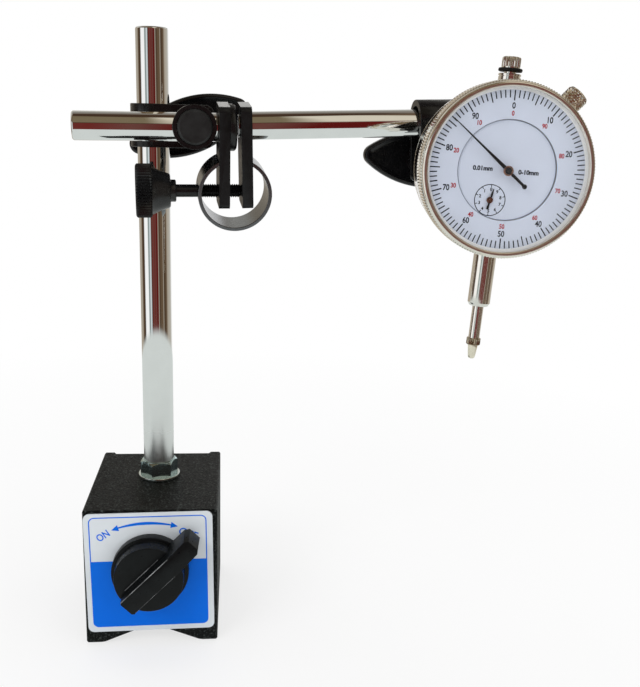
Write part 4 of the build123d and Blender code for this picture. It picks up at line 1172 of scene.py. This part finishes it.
def add_world():
    """Even soft light. Polished metal sees a room: a dark red wall behind the camera with a
    window beside it, brown furniture to both sides, and white walls far off behind."""
    world = bpy.data.worlds.new("studio")
    bpy.context.scene.world = world
    world.use_nodes = True
    tree = world.node_tree
    tree.nodes.clear()
    join = tree.links.new

    def maths(operation, *values):
        node = new_node(tree, "Math")
        node.operation = operation
        for value, target in zip(values, node.inputs):
            if isinstance(value, float):
                target.default_value = value
            else:
                join(value, target)
        return node.outputs[0]

    def step(value, edge, soft=0.008):
        return map_range(tree, value, edge - soft, edge + soft)

    def blend(factor, first, second):
        node = new_node(tree, "Mix")
        node.data_type = "RGBA"
        join(factor, node.inputs["Factor"])
        join(first, node.inputs["A"])
        if isinstance(second, tuple):
            node.inputs["B"].default_value = (*second, 1)
        else:
            join(second, node.inputs["B"])
        return node.outputs["Result"]

    split = new_node(tree, "SeparateXYZ")
    join(new_node(tree, "TexCoord").outputs["Generated"], split.inputs[0])
    x, y, z = split.outputs
    turn = maths("DIVIDE", maths("ARCTAN2", x, maths("MULTIPLY", y, -1.0)), tau)
    turn = maths("ADD", turn, 0.5)
    rise = maths("ADD", maths("DIVIDE", maths("ARCSINE", z), pi), 0.5)

    white, pale, grey = (1.0, 1.0, 1.0), (0.66, 0.72, 0.74), (0.24, 0.29, 0.28)
    beige, brown, dark = (0.42, 0.37, 0.30), (0.13, 0.085, 0.05), (0.06, 0.035, 0.02)
    red, deep_red, rust = (0.15, 0.022, 0.018), (0.11, 0.008, 0.007), (0.14, 0.055, 0.045)
    wall = colour_ramp(tree, turn, (
        (0.00, white), (0.03, beige), (0.17, beige), (0.205, brown), (0.235, dark), (0.262, dark),
        (0.285, white), (0.352, white), (0.368, grey), (0.384, grey), (0.40, pale),
        (0.415, pale), (0.43, dark), (0.445, red), (0.47, rust), (0.495, red), (0.515, rust),
        (0.535, deep_red), (0.556, deep_red), (0.57, beige), (0.583, dark), (0.62, brown),
        (0.655, brown), (0.668, beige), (0.682, dark), (0.74, brown), (0.775, beige),
        (0.87, (0.5, 0.48, 0.43)), (0.93, white), (1.00, white),
    ))
    olive, cream, shadow = (0.19, 0.15, 0.09), (0.68, 0.62, 0.50), (0.06, 0.034, 0.02)
    upper = colour_ramp(tree, turn, (
        (0.00, beige), (0.20, beige), (0.26, brown), (0.48, olive), (0.52, olive), (0.538, cream),
        (0.60, cream), (0.64, brown), (0.76, brown), (0.82, beige), (1.00, beige),
    ))
    seam = colour_ramp(tree, turn, (
        (0.25, beige), (0.30, shadow), (0.525, shadow), (0.545, beige), (0.60, brown),
    ))
    behind = colour_ramp(tree, rise, (
        (0.64, (0.72, 0.72, 0.68)), (0.70, (0.50, 0.49, 0.45)), (0.78, (0.30, 0.29, 0.265)),
        (0.88, (0.21, 0.18, 0.15)),
    ))
    aside = maths("ABSOLUTE", maths("SUBTRACT", turn, 0.5))
    room = blend(step(rise, SEAM_RISE), wall, seam)
    sides = blend(step(aside, BEHIND, 0.05), upper, behind)
    room = blend(step(rise, UPPER_RISE), room, sides)
    room = blend(step(rise, ZENITH_RISE, 0.015), room, shadow)

    rays = new_node(tree, "LightPath").outputs
    even = glow(tree, "Background", strength=EVEN_LIGHT)
    seen = glow(tree, "Background")
    mirrored = new_node(tree, "Background", Strength=1.0)
    join(room, mirrored.inputs["Color"])
    light = mix_shaders(tree, rays["Is Glossy Ray"], even, mirrored.outputs[0])
    direct = maths("MAXIMUM", rays["Is Camera Ray"], rays["Is Transmission Ray"])
    output = new_node(tree, "OutputWorld")
    join(mix_shaders(tree, direct, light, seen), output.inputs["Surface"])


FLOOR_HALF = 4.0

# Distances from the object, in millimetres
FADE_START, FADE_END = 60.0, 420.0
PAPER_REACH, PAPER_SOFT = 380.0, 15.0
FADE_LEAST = 0.7


def add_floor():
    """Pale paper that goes over into the white background away from the object."""
    data = bpy.data.meshes.new("floor")
    side = FLOOR_HALF
    data.from_pydata([(-side, -side, 0), (side, -side, 0), (side, side, 0), (-side, side, 0)],
                     [], [(0, 1, 2, 3)])
    floor = bpy.data.objects.new("floor", data)
    link(floor)
    shader = Shader("floor_paper")
    shader.colour(shader.noise(200.0, 2.0), (0.3, (0.90, 0.90, 0.90)), (0.7, (0.92, 0.92, 0.92)))
    shader.set(Roughness=0.9, Specular_IOR_Level=0.1)
    tree = shader.tree
    rays = new_node(tree, "LightPath").outputs
    white = glow(tree, "Emission")
    reach = new_node(tree, "VectorMath")
    reach.operation = "LENGTH"
    shader.join(shader.coordinates, reach.inputs[0])
    distance = reach.outputs["Value"]
    share = new_node(tree, "Math")
    share.operation = "MULTIPLY"
    shader.join(rays["Is Camera Ray"], share.inputs[0])
    shader.join(map_range(tree, distance, FADE_START, FADE_END, FADE_LEAST), share.inputs[1])
    plain = mix_shaders(tree, share.outputs[0], shader.bsdf.outputs["BSDF"], white)

    # In polished metal the paper shows pale and ends a little way off.
    paper = glow(tree, "Emission", (0.66, 0.70, 0.68))
    clear = new_node(tree, "BsdfTransparent")
    beyond = map_range(tree, distance, PAPER_REACH - PAPER_SOFT, PAPER_REACH + PAPER_SOFT)
    mirrored = mix_shaders(tree, beyond, paper, clear.outputs[0])
    shader.surface(mix_shaders(tree, rays["Is Glossy Ray"], plain, mirrored))
    data.materials.append(shader.material)


add_camera()
add_world()
add_floor()
add_lamps()

bpy.context.scene.view_settings.view_transform = "Standard"
